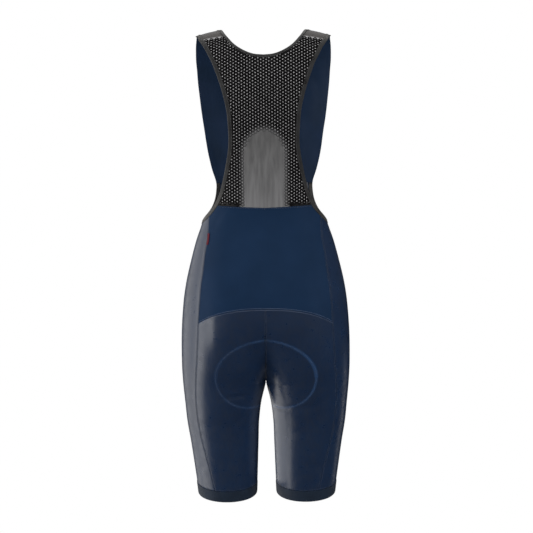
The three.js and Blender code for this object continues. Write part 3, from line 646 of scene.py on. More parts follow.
def relief(points):
    """How far the creases lift or sink the cloth at each point of the garment."""
    total = np.zeros(points.shape[:-1])
    for here, axes, length, width, depth, bend in FRAMES:
        along, across, through = np.moveaxis((points - here) @ axes.T, -1, 0)
        across = across + bend * (along / length) ** 2
        reach = np.exp(-((along / length) ** 2) - (through / REACH_THROUGH) ** 2)
        trough = np.exp(-((across / width) ** 2))
        banks = np.exp(-(((np.abs(across) - BANK_DISTANCE * width) / width) ** 2))
        total += reach * depth * (BANK_SHARE * banks - trough)
    return total


print("creases:", len(CREASES))

# %% [markdown]
# ## From a grid of places to a sewn panel
#
# A panel is a grid of places on the figure. Rows and columns crowd towards its edges, so that
# the cloth can roll down there into the seam over a millimetre or two, as two sewn edges do. The
# outer face is made first, blocks that share a border are welded, and then the sheet is given the
# thickness of its cloth.

# %% Panel helpers
KNIT = 1.5
ROLL_DEPTH, ROLL_WIDTH = 0.16, 1.0
EDGE_STATIONS, FIRST_EVEN = (0.0, 0.7, 1.5, 2.6), 4.2  # distances from an edge that is sewn
FAR = 1e6
PANEL_WELD = 0.05 * MM
HANDS = (("left", 1), ("right", -1))


def stations(length, spacing, start=True, stop=True):
    """Shares of a length at an even spacing, crowded at the ends that are sewn."""
    near = np.array(EDGE_STATIONS) / length
    count = max(2, round(length / spacing))
    inner_low = FIRST_EVEN / length if start else 0.0
    inner_high = 1 - (FIRST_EVEN / length if stop else 0.0)
    rows = np.linspace(inner_low, inner_high, count)
    if start:
        rows = np.concatenate([near, rows])
    if stop:
        rows = np.concatenate([rows, 1 - near[::-1]])
    return rows


def distance_to_borders(points, borders):
    """For each grid point, how far it lies from the nearest of the named borders."""
    down = np.linalg.norm(np.diff(points, axis=0), axis=-1)
    across = np.linalg.norm(np.diff(points, axis=1), axis=-1)
    zero_row, zero_column = np.zeros((1, points.shape[1])), np.zeros((points.shape[0], 1))
    nearest = np.full(points.shape[:2], FAR)
    options = {
        "top": np.vstack([zero_row, np.cumsum(down, axis=0)]),
        "bottom": np.vstack([np.cumsum(down[::-1], axis=0)[::-1], zero_row]),
        "start": np.hstack([zero_column, np.cumsum(across, axis=1)]),
        "end": np.hstack([np.cumsum(across[:, ::-1], axis=1)[:, ::-1], zero_column]),
    }
    for border in borders:
        nearest = np.minimum(nearest, options[border])
    return nearest


class Block:
    """A grid of places made into points, with its cloth coordinates for patterns."""

    def __init__(self, around, path, rolled, side, lift=0.0):
        around, path = np.broadcast_arrays(around, path)
        points, out = [on_side(vectors, side) for vectors in cloth(around, path)]
        self.lateral = (either_middle(drop_of(path), around < 0) - around) * side
        self.path = path
        down = ROLL_DEPTH * np.exp(-((distance_to_borders(points, rolled) / ROLL_WIDTH) ** 2))
        self.out = out
        self.points = points + out * (lift - down + relief(points))[..., None]

    def remade(self, change):
        """A block whose grids are this one's, each changed in the same way."""
        made = Block.__new__(Block)
        for name, grid in vars(self).items():
            setattr(made, name, change(name, grid))
        return made

    def joined_to_mirror(self, other):
        """One grid of both halves, whose first columns lie on the middle line."""
        return self.remade(lambda name, left: np.concatenate(
            [getattr(other, name)[:, :0:-1], left], axis=1))

    def rows(self, start, stop=None):
        return self.remade(lambda name, grid: grid[start:stop])


def grid_faces(rows, columns, offset):
    i, j = np.meshgrid(np.arange(rows - 1), np.arange(columns - 1), indexing="ij")
    a = (i * columns + j + offset).reshape(-1)
    return np.stack([a, a + columns, a + columns + 1, a + 1], axis=1)


def reworked(obj, change):
    """Changes an object's mesh through bmesh."""
    work = bmesh.new()
    work.from_mesh(obj.data)
    change(work)
    work.to_mesh(obj.data)
    work.free()


def weld(obj, distance):
    reworked(obj, lambda work: bmesh.ops.remove_doubles(work, verts=work.verts, dist=distance))


def outward_normals(obj):
    reworked(obj, lambda work: bmesh.ops.recalc_face_normals(work, faces=work.faces))


def new_piece(name, points, faces, material, uv=None):
    """A smooth-shaded mesh object from millimetres, linked to the scene."""
    mesh = bpy.data.meshes.new(name)
    mesh.from_pydata((np.asarray(points) * MM).tolist(), [], [list(map(int, f)) for f in faces])
    if uv is not None:
        layer = mesh.uv_layers.new(name="cut")
        corners = np.zeros(len(mesh.loops), dtype=np.int32)
        mesh.loops.foreach_get("vertex_index", corners)
        layer.data.foreach_set("uv", (np.asarray(uv)[corners] * MM).reshape(-1))
    mesh.polygons.foreach_set("use_smooth", [True] * len(mesh.polygons))
    mesh.materials.append(material)
    return linked(name, mesh)


def frozen(obj):
    """The object with its modifiers worked into its mesh."""
    name, mesh = obj.name, obj.data
    graph = bpy.context.evaluated_depsgraph_get()
    obj.data = bpy.data.meshes.new_from_object(obj.evaluated_get(graph))
    obj.modifiers.clear()
    obj.data.name = name
    bpy.data.meshes.remove(mesh)
    return obj


def panel(name, blocks, material, thickness=KNIT):
    """A welded sheet from blocks, turned to face outwards and thickened inwards."""
    points, faces, uv, start = [], [], [], 0
    for block in blocks:
        rows, columns = block.points.shape[:2]
        made = grid_faces(rows, columns, start)
        corner = block.points.reshape(-1, 3)[made - start]
        normal = np.cross(corner[:, 1] - corner[:, 0], corner[:, 3] - corner[:, 0]).reshape(-1, 3)
        outwards = block.out.reshape(-1, 3)[made[:, 0] - start]
        if (normal * outwards).sum() < 0:
            made = made[:, ::-1]
        points.append(block.points.reshape(-1, 3))
        uv.append(np.stack([block.lateral, -block.path], axis=-1).reshape(-1, 2))
        faces.append(made)
        start += rows * columns
    obj = new_piece(name, np.vstack(points), np.vstack(faces), material, np.vstack(uv))
    weld(obj, PANEL_WELD)
    solid = obj.modifiers.new("thickness", "SOLIDIFY")
    solid.thickness, solid.offset = thickness * MM, -1
    return frozen(obj)


def flat_area(obj):
    """The cloth's area in square metres, half of a closed wall's surface."""
    return sum(p.area for p in obj.data.polygons) / 2


def triangles(obj):
    return sum(len(p.vertices) - 2 for p in obj.data.polygons)


def vertex_points(mesh):
    """The places of a mesh's vertices in metres, one to a row."""
    points = np.zeros(len(mesh.vertices) * 3)
    mesh.vertices.foreach_get("co", points)
    return points.reshape(-1, 3)


print("panel edges roll", ROLL_DEPTH, "mm into the seam")

# %% [markdown]
# ## Navy stretch knit
#
# The shorts are a warp knit of nylon and elastane. Its smooth, slightly glossy filament yarn lies
# in fine upright wales, and the cloth is stretched, so it shows a broad soft sheen rather than a
# sparkle. A sheen layer stands for the short fibres at its surface, a fine bump for the wales and
# courses, and two slow noises keep the colour and the gloss from being the same all over.

# %% Navy knit material
PATCH_RANGE = (0.3, 0.7)  # most of a noise's values lie between these


def wave_scale(period):
    """Scale of a sine Wave texture whose bands are one period apart, in metres."""
    return 2 * math.pi / 20 / period


def new_material(name):
    """A material with an empty tree, its Principled shader and its output."""
    material = bpy.data.materials.new(name)
    tree = empty_tree(material)
    shader = add(tree, "ShaderNodeBsdfPrincipled")
    add(tree, "ShaderNodeOutputMaterial", {"Surface": shader.outputs["BSDF"]})
    return material, tree, shader


def feed(tree, shader, **inputs):
    """Sets or links the named inputs of a shader; underscores stand for spaces."""
    for name, value in inputs.items():
        socket = shader.inputs[name.replace("_", " ")]
        if isinstance(value, bpy.types.NodeSocket):
            tree.links.new(value, socket)
        else:
            socket.default_value = value


def mix_colours(tree, share, first, second):
    """A mix of two colours, each a hex string or a socket."""
    first, second = [linear(c) if isinstance(c, str) else c for c in (first, second)]
    mixed = add(tree, "ShaderNodeMix", {0: share, 6: first, 7: second}, data_type="RGBA")
    return mixed.outputs[2]


def mapped(tree, value, low, high, from_low=0.0, from_high=1.0):
    made = add(tree, "ShaderNodeMapRange", {"Value": value, "From Min": from_low,
                                            "From Max": from_high, "To Min": low, "To Max": high})
    return made.outputs["Result"]


def slow_noise(tree, size, detail=2.0):
    """A noise whose patches are about one size across, in metres on the object."""
    place = add(tree, "ShaderNodeTexCoord")
    noise = add(tree, "ShaderNodeTexNoise", {"Vector": place.outputs["Object"],
                                             "Scale": 1 / size, "Detail": detail})
    return noise.outputs["Fac"]


def patchy(tree, size, first, second):
    """Two colours in soft patches about one size across."""
    share = mapped(tree, slow_noise(tree, size), 0, 1, *PATCH_RANGE)
    return mix_colours(tree, share, first, second)


def ribs(tree, across, along=None):
    """Upright ribs, and rows across them, from the cut's own coordinates."""
    cut = add(tree, "ShaderNodeUVMap", uv_map="cut")
    waves = []
    for period, direction in ((across, "X"), (along, "Y")):
        if period:
            wave = add(tree, "ShaderNodeTexWave", {"Vector": cut.outputs["UV"],
                                                   "Scale": wave_scale(period)},
                       bands_direction=direction)
            waves.append(wave.outputs["Fac"])
    if len(waves) == 1:
        return waves[0]
    return maths(tree, "MULTIPLY", *waves)


def bumped(tree, height, strength, distance):
    bump = add(tree, "ShaderNodeBump", {"Height": height, "Strength": strength,
                                        "Distance": distance})
    return bump.outputs["Normal"]


PAD_LEVEL, PAD_UP, PAD_DOWN, PAD_BACK_REACH = 662, 74, 68, 99
PAD_ROUNDNESS, PAD_SQUARENESS = 0.53, 0.38
PAD_LINE = 0.965  # the line of stitches lies this share of the way out to the pad's edge
PAD_LINE_WIDTH, PAD_LINE_COLOUR = 0.085, "#244a78"


def pad_outline(tree):
    """1 along the line where the pad is sewn to the seat, in the garment's own X and Z. Towards the
    wearer's left the line is painted fainter, as painted light.
    """
    do = partial(maths, tree)
    place = add(tree, "ShaderNodeTexCoord")
    axis = add(tree, "ShaderNodeSeparateXYZ", {0: place.outputs["Object"]}).outputs
    over = do("MULTIPLY", do("ABSOLUTE", axis["X"]), 1 / (PAD_BACK_REACH * PAD_LINE * MM))
    below = do("ADD", do("MULTIPLY", axis["Z"], -1.0), -PAD_LEVEL * MM)
    above = do("LESS_THAN", below, 0.0)
    lower = add(tree, "ShaderNodeMix", {0: above, 2: 1 / PAD_DOWN, 3: 1 / PAD_UP}).outputs[0]
    power = add(tree, "ShaderNodeMix", {0: above, 2: 1 / PAD_SQUARENESS,
                                        3: 1 / PAD_ROUNDNESS}).outputs[0]
    away = do("MULTIPLY", do("MULTIPLY", below, lower), 1 / (PAD_LINE * MM))
    reached = do("ADD", do("POWER", over, power), do("MULTIPLY", away, away))
    off_line = do("DIVIDE", do("ABSOLUTE", do("SUBTRACT", reached, 1.0)), PAD_LINE_WIDTH)
    on_line = do("POWER", do("MAXIMUM", do("SUBTRACT", 1.0, off_line), 0.0), 0.7)
    behind = do("GREATER_THAN", axis["Y"], 0.02)
    # painted light: the line is drawn fainter towards the wearer's left, where the side light falls
    clear = mapped(tree, axis["X"], 1.0, 0.4, -0.02, 0.08)
    return do("MULTIPLY", do("MULTIPLY", on_line, behind), clear)


WALE_PITCH = 1.1 * MM  # real wales are 0.4 mm apart; drawn coarser so that they can show at all
COURSE_PITCH = 0.9 * MM


def stretch_tricot(name, dark, light, roughness, gloss, over_pad=False):
    """Glossy filament knit: the gloss comes from flat-lying smooth yarn."""
    material, tree, shader = new_material(name)
    colour = patchy(tree, 0.06, dark, light)
    if over_pad:
        strength = mapped(tree, slow_noise(tree, 0.045), 0.55, 1.0, 0.35, 0.65)
        line = maths(tree, "MULTIPLY", pad_outline(tree), strength)
        colour = mix_colours(tree, line, colour, PAD_LINE_COLOUR)
    feed(tree, shader, Base_Color=colour,
         Roughness=mapped(tree, slow_noise(tree, 0.012), roughness - 0.06, roughness + 0.06,
                          *PATCH_RANGE),
         Normal=bumped(tree, ribs(tree, WALE_PITCH, COURSE_PITCH), 0.12, 0.03 * MM),
         IOR=1.53, Specular_IOR_Level=gloss, Sheen_Weight=0.03, Sheen_Roughness=0.3,
         Sheen_Tint=linear("#c8ccd4"))
    return material


# the yoke and the bib are cut across the grain, so they turn less of the side light to the eye
navy_knit = stretch_tricot("navy_tricot_across_grain", "#172c47", "#1a304d", 0.42, 0.05)
# the bib is the same knit as the yoke, painted lighter and greyer: partly painted light on its
# shaded inside, partly the greyer back face of the knit
bib_knit_painted_lighter = stretch_tricot("navy_tricot_of_bib_painted_lighter", "#203046", "#243550", 0.45, 0.05)
leg_knit = stretch_tricot("navy_tricot_along_grain", "#152a48", "#182e4d", 0.33, 1.0)
seat_knit = stretch_tricot("navy_tricot_over_pad", "#152a48", "#182e4d", 0.33, 1.0, True)
print("navy knit:", len(navy_knit.node_tree.nodes), "nodes")

# %% [markdown]
# ## The back yoke
#
# One plain piece runs across the back from the mesh to the curved seam. Both halves are worked
# out on the left side and mirrored, and then joined along the middle into one sheet. Its grid
# follows the waist seam, the two armhole trims and the arc, and every other piece that meets it
# uses the same borders.

# %% Places between the seams
BACK_ARC_MIDDLE, BACK_ARC_RISE, BACK_ARC_POWER = 530, 29, 2.6
TOP_LEVEL_SHARE = 5 / 8  # share of the columns that end on the waist seam
GRID = 3.0


def between_seams(share, drop, front):
    """Places from the middle line (share 0) to the side seam (share 1)."""
    middle = middle_line(drop, front)
    return middle + (side_seam(drop, front) - middle) * share, path_of(drop)


def trim_share(t, front):
    around, path = armhole.inside(t, ARMHOLE_TRIM_WIDTH)
    drop = drop_of(path)
    middle = middle_line(drop, front)
    return (around - middle) / (side_seam(drop, front) - middle), drop


def arc_level(share):
    return BACK_ARC_MIDDLE + BACK_ARC_RISE * np.abs(share) ** BACK_ARC_POWER


def waist_corner(front):
    """The waist seam's drop at the middle, and the share and drop of its corner at the trim."""
    middle, end = (FRONT_WAIST, front_waist_end) if front else (BACK_WAIST_MIDDLE, waist_end)
    return middle, *trim_share(np.array([end]), front)


def top_edge(share, front):
    """The top of a piece below the waist: along the waist, then down the armhole trim."""
    low, high = (front_waist_end, front_seam_top) if front else (waist_end, back_seam_top)
    waist_middle, corner_share, corner_drop = waist_corner(front)
    flat = share / TOP_LEVEL_SHARE
    along = np.clip((share - TOP_LEVEL_SHARE) / (1 - TOP_LEVEL_SHARE), 0, 1)
    slope_share, slope_drop = trim_share(low + (high - low) * along, front)
    on_waist = share <= TOP_LEVEL_SHARE
    return (np.where(on_waist, corner_share * flat, slope_share),
            np.where(on_waist, waist_middle + (corner_drop - waist_middle) * flat, slope_drop))


def upper_places(down, share, front):
    top_share, top_drop = top_edge(share, front)
    down = down[:, None]
    at_share = top_share + (share - top_share) * down
    drop = top_drop + (arc_level(share) - top_drop) * down
    return between_seams(at_share, drop, front)


CROTCH_ZONE, CROTCH_ZONE_ROWS = 102.0, 98.0


def leg_levels(stop):
    """Levels below the arc, crowded at the crotch, where the form turns fast."""
    span = CROTCH - CROTCH_ZONE - BACK_ARC_MIDDLE
    upper = BACK_ARC_MIDDLE + stations(span, GRID, True, False) * span
    steps = np.linspace(1, 0, round(CROTCH_ZONE_ROWS / GRID) + 1)[1:]
    rise = CROTCH - CROTCH_ZONE * steps**2
    first = CROTCH + np.array([0.5, 1.4, 2.8, 4.6, 6.8])
    rest = first[-1] + stations(stop - first[-1], GRID, False)[1:] * (stop - first[-1])
    return np.concatenate([upper, rise, first, rest])


def leg_drop(level, share):
    fade = np.maximum(0, (CROTCH - level) / (CROTCH - BACK_ARC_MIDDLE))
    return level + (arc_level(share) - BACK_ARC_MIDDLE) * fade


CUFF_SEAM, CUFF_DIP, CUFF_FULLNESS, CUFF_DIPS_FROM = 881, 7.5, 1.3, 800


def cuff_dip(share, front):
    """How far the seam over the band dips at the back, from the flank (0) to the inseam (1)."""
    return np.where(front, 0, CUFF_DIP) * np.maximum(0, np.sin(np.pi * share)) ** CUFF_FULLNESS


def dipped(around, path):
    """Places on the leg, lowered by their part of that dip."""
    around, path = np.broadcast_arrays(np.asarray(around, float), path)
    drop, front = drop_of(path), around < 0
    share = around / either_middle(drop, front)
    near = np.clip((drop - CUFF_DIPS_FROM) / (CUFF_SEAM - CUFF_DIPS_FROM), 0, None)
    lower = drop + cuff_dip(share, front) * near * near
    moved = share * either_middle(lower, front)
    return np.where(near > 0, moved, around), np.where(near > 0, path_of(lower), path)


COLUMN_SHARES = np.unique(np.concatenate([stations(128.0, GRID), [TOP_LEVEL_SHARE]]))
UPPER_DOWN = stations(190.0, GRID)
print("columns:", len(COLUMN_SHARES), "rows above the arc:", len(UPPER_DOWN))

# %% Back yoke
def mirrored_pair(make):
    """The same thing on the wearer's left and right."""
    return make(1), make(-1)


yoke_place = upper_places(UPPER_DOWN, COLUMN_SHARES, False)
yoke_left, yoke_right = mirrored_pair(
    lambda side: Block(*yoke_place, rolled=("top", "bottom", "end"), side=side))
back_yoke = panel("back_yoke_cloth", [yoke_left.joined_to_mirror(yoke_right)], navy_knit)
print("yoke area", round(flat_area(back_yoke), 4), "m2")

# %% [markdown]
# ## Seat, front and side pieces
#
# The seat pieces start at the curved seam and run on down the back of each leg, so the seam
# between them is the centre back seam above the crotch and the inseam below it. The front pieces
# do the same from the front waist, and the side pieces lie between the two, from the armhole trim
# to the gripper band. Rows crowd at the crotch, where one round body parts into two legs.

# %% Shorts panels
LEVELS = leg_levels(CUFF_SEAM)


def lower_places(front):
    levels, shares = LEVELS[:, None], COLUMN_SHARES[None, :]
    return dipped(*between_seams(shares, leg_drop(levels, shares), front))


def front_places():
    upper = upper_places(UPPER_DOWN[:-len(EDGE_STATIONS)], COLUMN_SHARES, True)
    lower = lower_places(True)
    return [np.vstack([u, l]) for u, l in zip(upper, lower)]


SIDE_SHARES = stations(150.0, GRID)


def side_places():
    """From the back seam (share 0) to the front seam (share 1), rows from the trim down."""
    t = back_seam_top + (front_seam_top - back_seam_top) * SIDE_SHARES
    top_around, top_path = armhole.inside(t, ARMHOLE_TRIM_WIDTH)
    top_drop = drop_of(top_path)
    down = UPPER_DOWN[:-len(EDGE_STATIONS), None]
    upper_drop = top_drop + (arc_level(1) - top_drop) * down
    lower_drop = np.broadcast_to(leg_drop(LEVELS, 1)[:, None], (len(LEVELS), len(SIDE_SHARES)))
    drop = np.vstack([upper_drop, lower_drop])
    share_down = np.vstack([np.broadcast_to(down, upper_drop.shape), np.ones(lower_drop.shape)])

    def level(at):
        back, front = side_seam(at, False), side_seam(at, True)
        return back + (front - back) * SIDE_SHARES

    around = level(drop) + (top_around - level(top_drop)) * (1 - share_down)
    return dipped(around, path_of(drop))


seam_borders = ("top", "bottom", "start", "end")
seat_place, front_place, side_place = lower_places(False), front_places(), side_places()
shorts_panels = {}
for hand, side in HANDS:
    for part, place in (("seat", seat_place), ("front", front_place), ("side", side_place)):
        block = Block(*place, rolled=seam_borders, side=side)
        if part == "side":
            block.lateral = place[0]
        shorts_panels[part, hand] = panel(f"{part}_{hand}_cloth", [block],
                                          seat_knit if part == "seat" else leg_knit)
for key, obj in shorts_panels.items():
    print(*key, len(obj.data.polygons), "faces", round(flat_area(obj), 4), "m2")

# %% [markdown]
# ## The front bib
#
# Two straps come over the shoulders, widen, and join below the scooped neck into one piece down
# to the waist. From behind, its inside shows on both sides of the mesh. Its neck and armhole edges
# are turned in and sewn flat, and the last centimetre at the armholes stands a little proud.

# %% Front bib
HEM_LIFT, HEM_STATIONS = 0.35, np.array([1.0, 3.0, 5.0, 6.6, 7.6, 8.0])


def bib_places():
    strap, body = stations(300.0, GRID), stations(95.0, GRID)
    across = np.concatenate([stations(60.0, GRID), 1 + HEM_STATIONS / ARMHOLE_TRIM_WIDTH])
    reach = np.minimum(across, 1)
    beyond = np.maximum(across - 1, 0) * ARMHOLE_TRIM_WIDTH
    t_strap = 1 + (bib_strap_end - 1) * strap
    t_body = bib_strap_end + (front_waist_end - bib_strap_end) * body[1:]
    places = []
    for t in (t_strap, t_body):
        hem = armhole.inside(t, ARMHOLE_TRIM_WIDTH)
        strips = armhole.inside(t[:, None], ARMHOLE_TRIM_WIDTH - beyond[None, :])
        if t is t_strap:
            inner = front_neck.at(strap)
            inside = [n[:, None] + (h - n)[:, None] * reach for n, h in zip(inner, hem)]
        else:
            low = path_of(np.array(float(FRONT_NECK[-1][2])))
            middle = low + (path_of(np.array(float(FRONT_WAIST))) - low) * body[1:]
            path = middle[:, None] + (hem[1] - middle)[:, None] * reach
            wide = (hem[0] - middle_line(drop_of(hem[1]), True))[:, None]
            inside = [middle_line(drop_of(path), True) + wide * reach, path]
        places.append([np.where(beyond > 0, s, i) for s, i in zip(strips, inside)])
    return [np.vstack(pair) for pair in zip(*places)], len(strap), len(across)


bib_place, bib_strap_rows, bib_columns = bib_places()


def bib_block(side):
    block = Block(*bib_place, rolled=("top", "bottom", "end"), side=side)
    hem = np.clip((np.arange(bib_columns) - (bib_columns - 7)) / 2, 0, 1) * HEM_LIFT
    block.points = block.points + block.out * hem[None, :, None]
    return block


bib_left, bib_right = mirrored_pair(bib_block)
body_left, body_right = [block.rows(bib_strap_rows - 1) for block in (bib_left, bib_right)]
for block in (bib_left, bib_right):
    block.points[bib_strap_rows - 1 :, 0, 0] = 0.0
bib_front = panel(
    "bib_front_cloth",
    [bib_left.rows(0, bib_strap_rows), bib_right.rows(0, bib_strap_rows),
     body_left.joined_to_mirror(body_right)],
    bib_knit_painted_lighter)
print("bib area", round(flat_area(bib_front), 4), "m2")

# %% [markdown]
# ## Gripper bands
#
# Each leg ends in a wide elastic band that grips the thigh. It is a closed ring whose section is
# a rounded strip, and its lower edge dips at the back. The cloth is a matt slate knit, with soft
# upright ribs.

# %% Gripper bands
GRIPPER, GRIPPER_PROUD = 2.6, 0.9
HEM_FLANK, HEM_BACK_DIP, HEM_FRONT_DIP, HEM_FULLNESS = 899, 10, 3, 0.75
SEAM_GAP = 0.36


def strip_profile(width, thickness, proud, edge, count):
    """A closed rounded section: distances across the strip and heights above the cloth."""
    across = np.linspace(edge, width - edge, count)
    outer = [(d, proud) for d in across]
    corner = 0.3 * edge
    low = proud - thickness
    far = [(width - corner, proud - corner), (width, proud - edge), (width, low + edge),
           (width - corner, low + corner)]
    inner = [(d, low) for d in across[::-1][:: max(1, count // 4)]]
    near = [(corner, low + corner), (0.0, low + edge), (0.0, proud - edge),
            (corner, proud - corner)]
    return np.array(outer + far + inner + near)


def tube(name, points, material, uv, closed):
    """A skin over rings of points, with caps at its ends or joined into one ring."""
    rows, columns = points.shape[:2]
    count = rows if closed else rows - 1
    i, j = np.meshgrid(np.arange(count), np.arange(columns), indexing="ij")
    i, j = i.reshape(-1), j.reshape(-1)
    i_next, j_next = (i + 1) % rows, (j + 1) % columns
    faces = np.stack([i * columns + j, i_next * columns + j, i_next * columns + j_next,
                      i * columns + j_next], axis=1).tolist()
    if not closed:
        faces += [list(range(columns))[::-1], [(rows - 1) * columns + k for k in range(columns)]]
    obj = new_piece(name, points.reshape(-1, 3), faces, material, uv.reshape(-1, 2))
    outward_normals(obj)
    return obj


def elastic(name, dark, light, roughness, rib, sheen, gloss):
    """Covered elastic: matt texturised yarn, ribbed across its stretch."""
    material, tree, shader = new_material(name)
    feed(tree, shader, Base_Color=patchy(tree, 0.02, dark, light),
         Roughness=mapped(tree, slow_noise(tree, 0.012), roughness - 0.04, roughness + 0.04),
         Normal=bumped(tree, ribs(tree, rib), 0.5, 0.12 * MM),
         IOR=1.5, Specular_IOR_Level=gloss, Sheen_Weight=sheen, Sheen_Roughness=0.5)
    return material


GRIPPER_RIB = 2.0 * MM
gripper_knit = elastic("slate_gripper_elastic", "#1b2737", "#1f2c3d", 0.5, GRIPPER_RIB, 0.04, 0.2)
CUFF_STEPS = 150


def gripper_band(hand, side):
    share = np.concatenate([np.linspace(start, 1 - start, CUFF_STEPS // 2, endpoint=False)
                            for start in (0, 1)])
    front = np.arange(CUFF_STEPS) >= CUFF_STEPS // 2
    bow = np.maximum(0, np.sin(np.pi * share)) ** HEM_FULLNESS
    dip = np.where(front, HEM_FRONT_DIP, HEM_BACK_DIP) * bow
    top = CUFF_SEAM + cuff_dip(share, front) + SEAM_GAP / 2
    profile = strip_profile(1.0, GRIPPER, GRIPPER_PROUD, edge=0.06, count=9)
    height = HEM_FLANK + dip - top
    drop = top[:, None] + height[:, None] * profile[:, 0]
    around = either_middle(drop, front[:, None]) * share[:, None]
    around = np.where((share == 0)[:, None], 0.0, around)
    points, out = cloth(around, path_of(drop))
    points = on_side(points + out * profile[:, 1][None, :, None], side)
    steps = np.linalg.norm(np.diff(points[:, 0], axis=0), axis=-1)
    length = np.cumsum(np.concatenate([[0], steps]))
    uv = np.stack(np.broadcast_arrays(length[:, None], -path_of(drop)), axis=-1)
    return tube(f"leg_gripper_{hand}_band", points, gripper_knit, uv, closed=True)


grippers = {hand: gripper_band(hand, side) for hand, side in HANDS}
print("gripper faces:", len(grippers["left"].data.polygons))

# %% [markdown]
# ## Elastic bindings
#
# A folded elastic tape covers the edges of the neck and of the armholes. It is one long strip
# with a rounded section, set off from the edge curve over the curved cloth, and it stands half a
# millimetre above the cloth beside it.

# %% Bindings
TRIM, TRIM_PROUD = 2.2, 0.5
TRIM_STEP = 3.0
binding_elastic = elastic("grey_folded_elastic", "#2c2c2d", "#363637", 0.42, 1.6 * MM, 0.1,
                          0.5)


def binding(name, edge, stop, width, mirror_at_end, side=1):
    t = np.linspace(0, stop, round(edge.length * stop / TRIM_STEP) + 1)
    profile = strip_profile(width, TRIM, TRIM_PROUD, edge=0.8, count=7)
    around, path = edge.inside(t[:, None], profile[:, 0][None, :])
    points, out = cloth(around, path)
    points = points + out * profile[:, 1][None, :, None]
    u = np.broadcast_to((t * edge.length)[:, None], around.shape)
    if mirror_at_end:
        points[-1, :, 0] = 0.0
        points = np.vstack([points, on_side(points[-2::-1], -1)])
        u = np.vstack([u, 2 * u[-1] - u[-2::-1]])
    uv = np.stack([u, np.broadcast_to(profile[:, 0], u.shape)], axis=-1)
    return tube(name, on_side(points, side), binding_elastic, uv, closed=False)


neck_binding = binding("neck_binding_tape", back_neck, 1.0, NECK_TRIM_WIDTH, True)
armhole_bindings = {
    hand: binding(f"armhole_binding_{hand}_tape", armhole, front_waist_end, ARMHOLE_TRIM_WIDTH,
                  False, side)
    for hand, side in HANDS}
print("neck tape", round(flat_area(neck_binding), 4), "m2")

# %% [markdown]
# ## The mesh back
#
# The racerback is a two-layer knit: a black honeycomb face over a pale ground, so the holes of
# the face read as small light dots. Over the small of the back the face closes and only the grey
# ground shows, in an arch with a soft edge. The ground is a sheet of its own here, two thirds of a
# millimetre under the face, and it rises to the face inside the arch. The face is a net of small
# rings, one for each hole, that a Geometry Nodes tree sets on a lattice of points.

# %% Ground of the mesh
NET = 1.2
GROUND_DEPTH = 0.65
NECK_LOW = float(path_of(np.array(float(BACK_NECK[-1][2])))) + NECK_TRIM_WIDTH
ARCH_HALF_WIDTH, ARCH_TOP, ARCH_SHOULDER, ARCH_POWER = 43.0, 190.0, 245.0, 2.0
ARCH_FADE = 6.0


def arch_share(x, drop):
    """1 inside the grey arch over the small of the back, 0 outside it, soft between."""
    up = np.maximum(0, ARCH_SHOULDER - drop) / (ARCH_SHOULDER - ARCH_TOP)
    far = ((np.abs(x) / ARCH_HALF_WIDTH) ** ARCH_POWER + up**ARCH_POWER) ** (1 / ARCH_POWER)
    share = np.clip(0.5 + (1 - far) * 50 / (2 * ARCH_FADE), 0, 1)
    return share * share * (3 - 2 * share)


def mesh_places():
    strap, body = stations(110.0, GRID, True, False), stations(300.0, GRID, False, True)
    across = stations(70.0, GRID)
    t_strap, t_body = strap_end * strap, strap_end + (waist_end - strap_end) * body
    outer = armhole.inside(t_strap, ARMHOLE_TRIM_WIDTH)
    inner = back_neck.inside(strap, NECK_TRIM_WIDTH)
    upper = [i[:, None] + (o - i)[:, None] * across for i, o in zip(inner, outer)]
    outer = armhole.inside(t_body, ARMHOLE_TRIM_WIDTH)
    middle = NECK_LOW + (float(path_of(np.array(float(BACK_WAIST_MIDDLE)))) - NECK_LOW) * body
    path = middle[:, None] + (outer[1] - middle)[:, None] * across
    reach = (middle_line(drop_of(outer[1]), False) - outer[0])[:, None]
    lower = [middle_line(drop_of(path), False) - reach * across, path]
    return upper, lower


def mesh_blocks(side, lift):
    upper, lower = mesh_places()
    return (Block(*upper, rolled=("top", "end"), side=side, lift=lift),
            Block(*lower, rolled=("bottom", "end"), side=side, lift=lift))


def raised(block):
    share = arch_share(block.points[..., 0], drop_of(block.path))
    block.points = block.points + block.out * (share * GROUND_DEPTH)[..., None]
    return block


strap_left, back_left = mesh_blocks(1, -GROUND_DEPTH)
strap_right, back_right = mesh_blocks(-1, -GROUND_DEPTH)
for block in (back_left, back_right):
    block.points[:, 0, 0] = 0.0
mesh_back = back_left.joined_to_mirror(back_right)
for block in (strap_left, strap_right, mesh_back):
    raised(block)
print("arch at the waist:", np.round(arch_share(np.array([0, 40, 45, 50.0]), 330), 2).tolist())

# %% Ground material
STREAK = 2.6 * MM  # distance between the wales of the closed knit


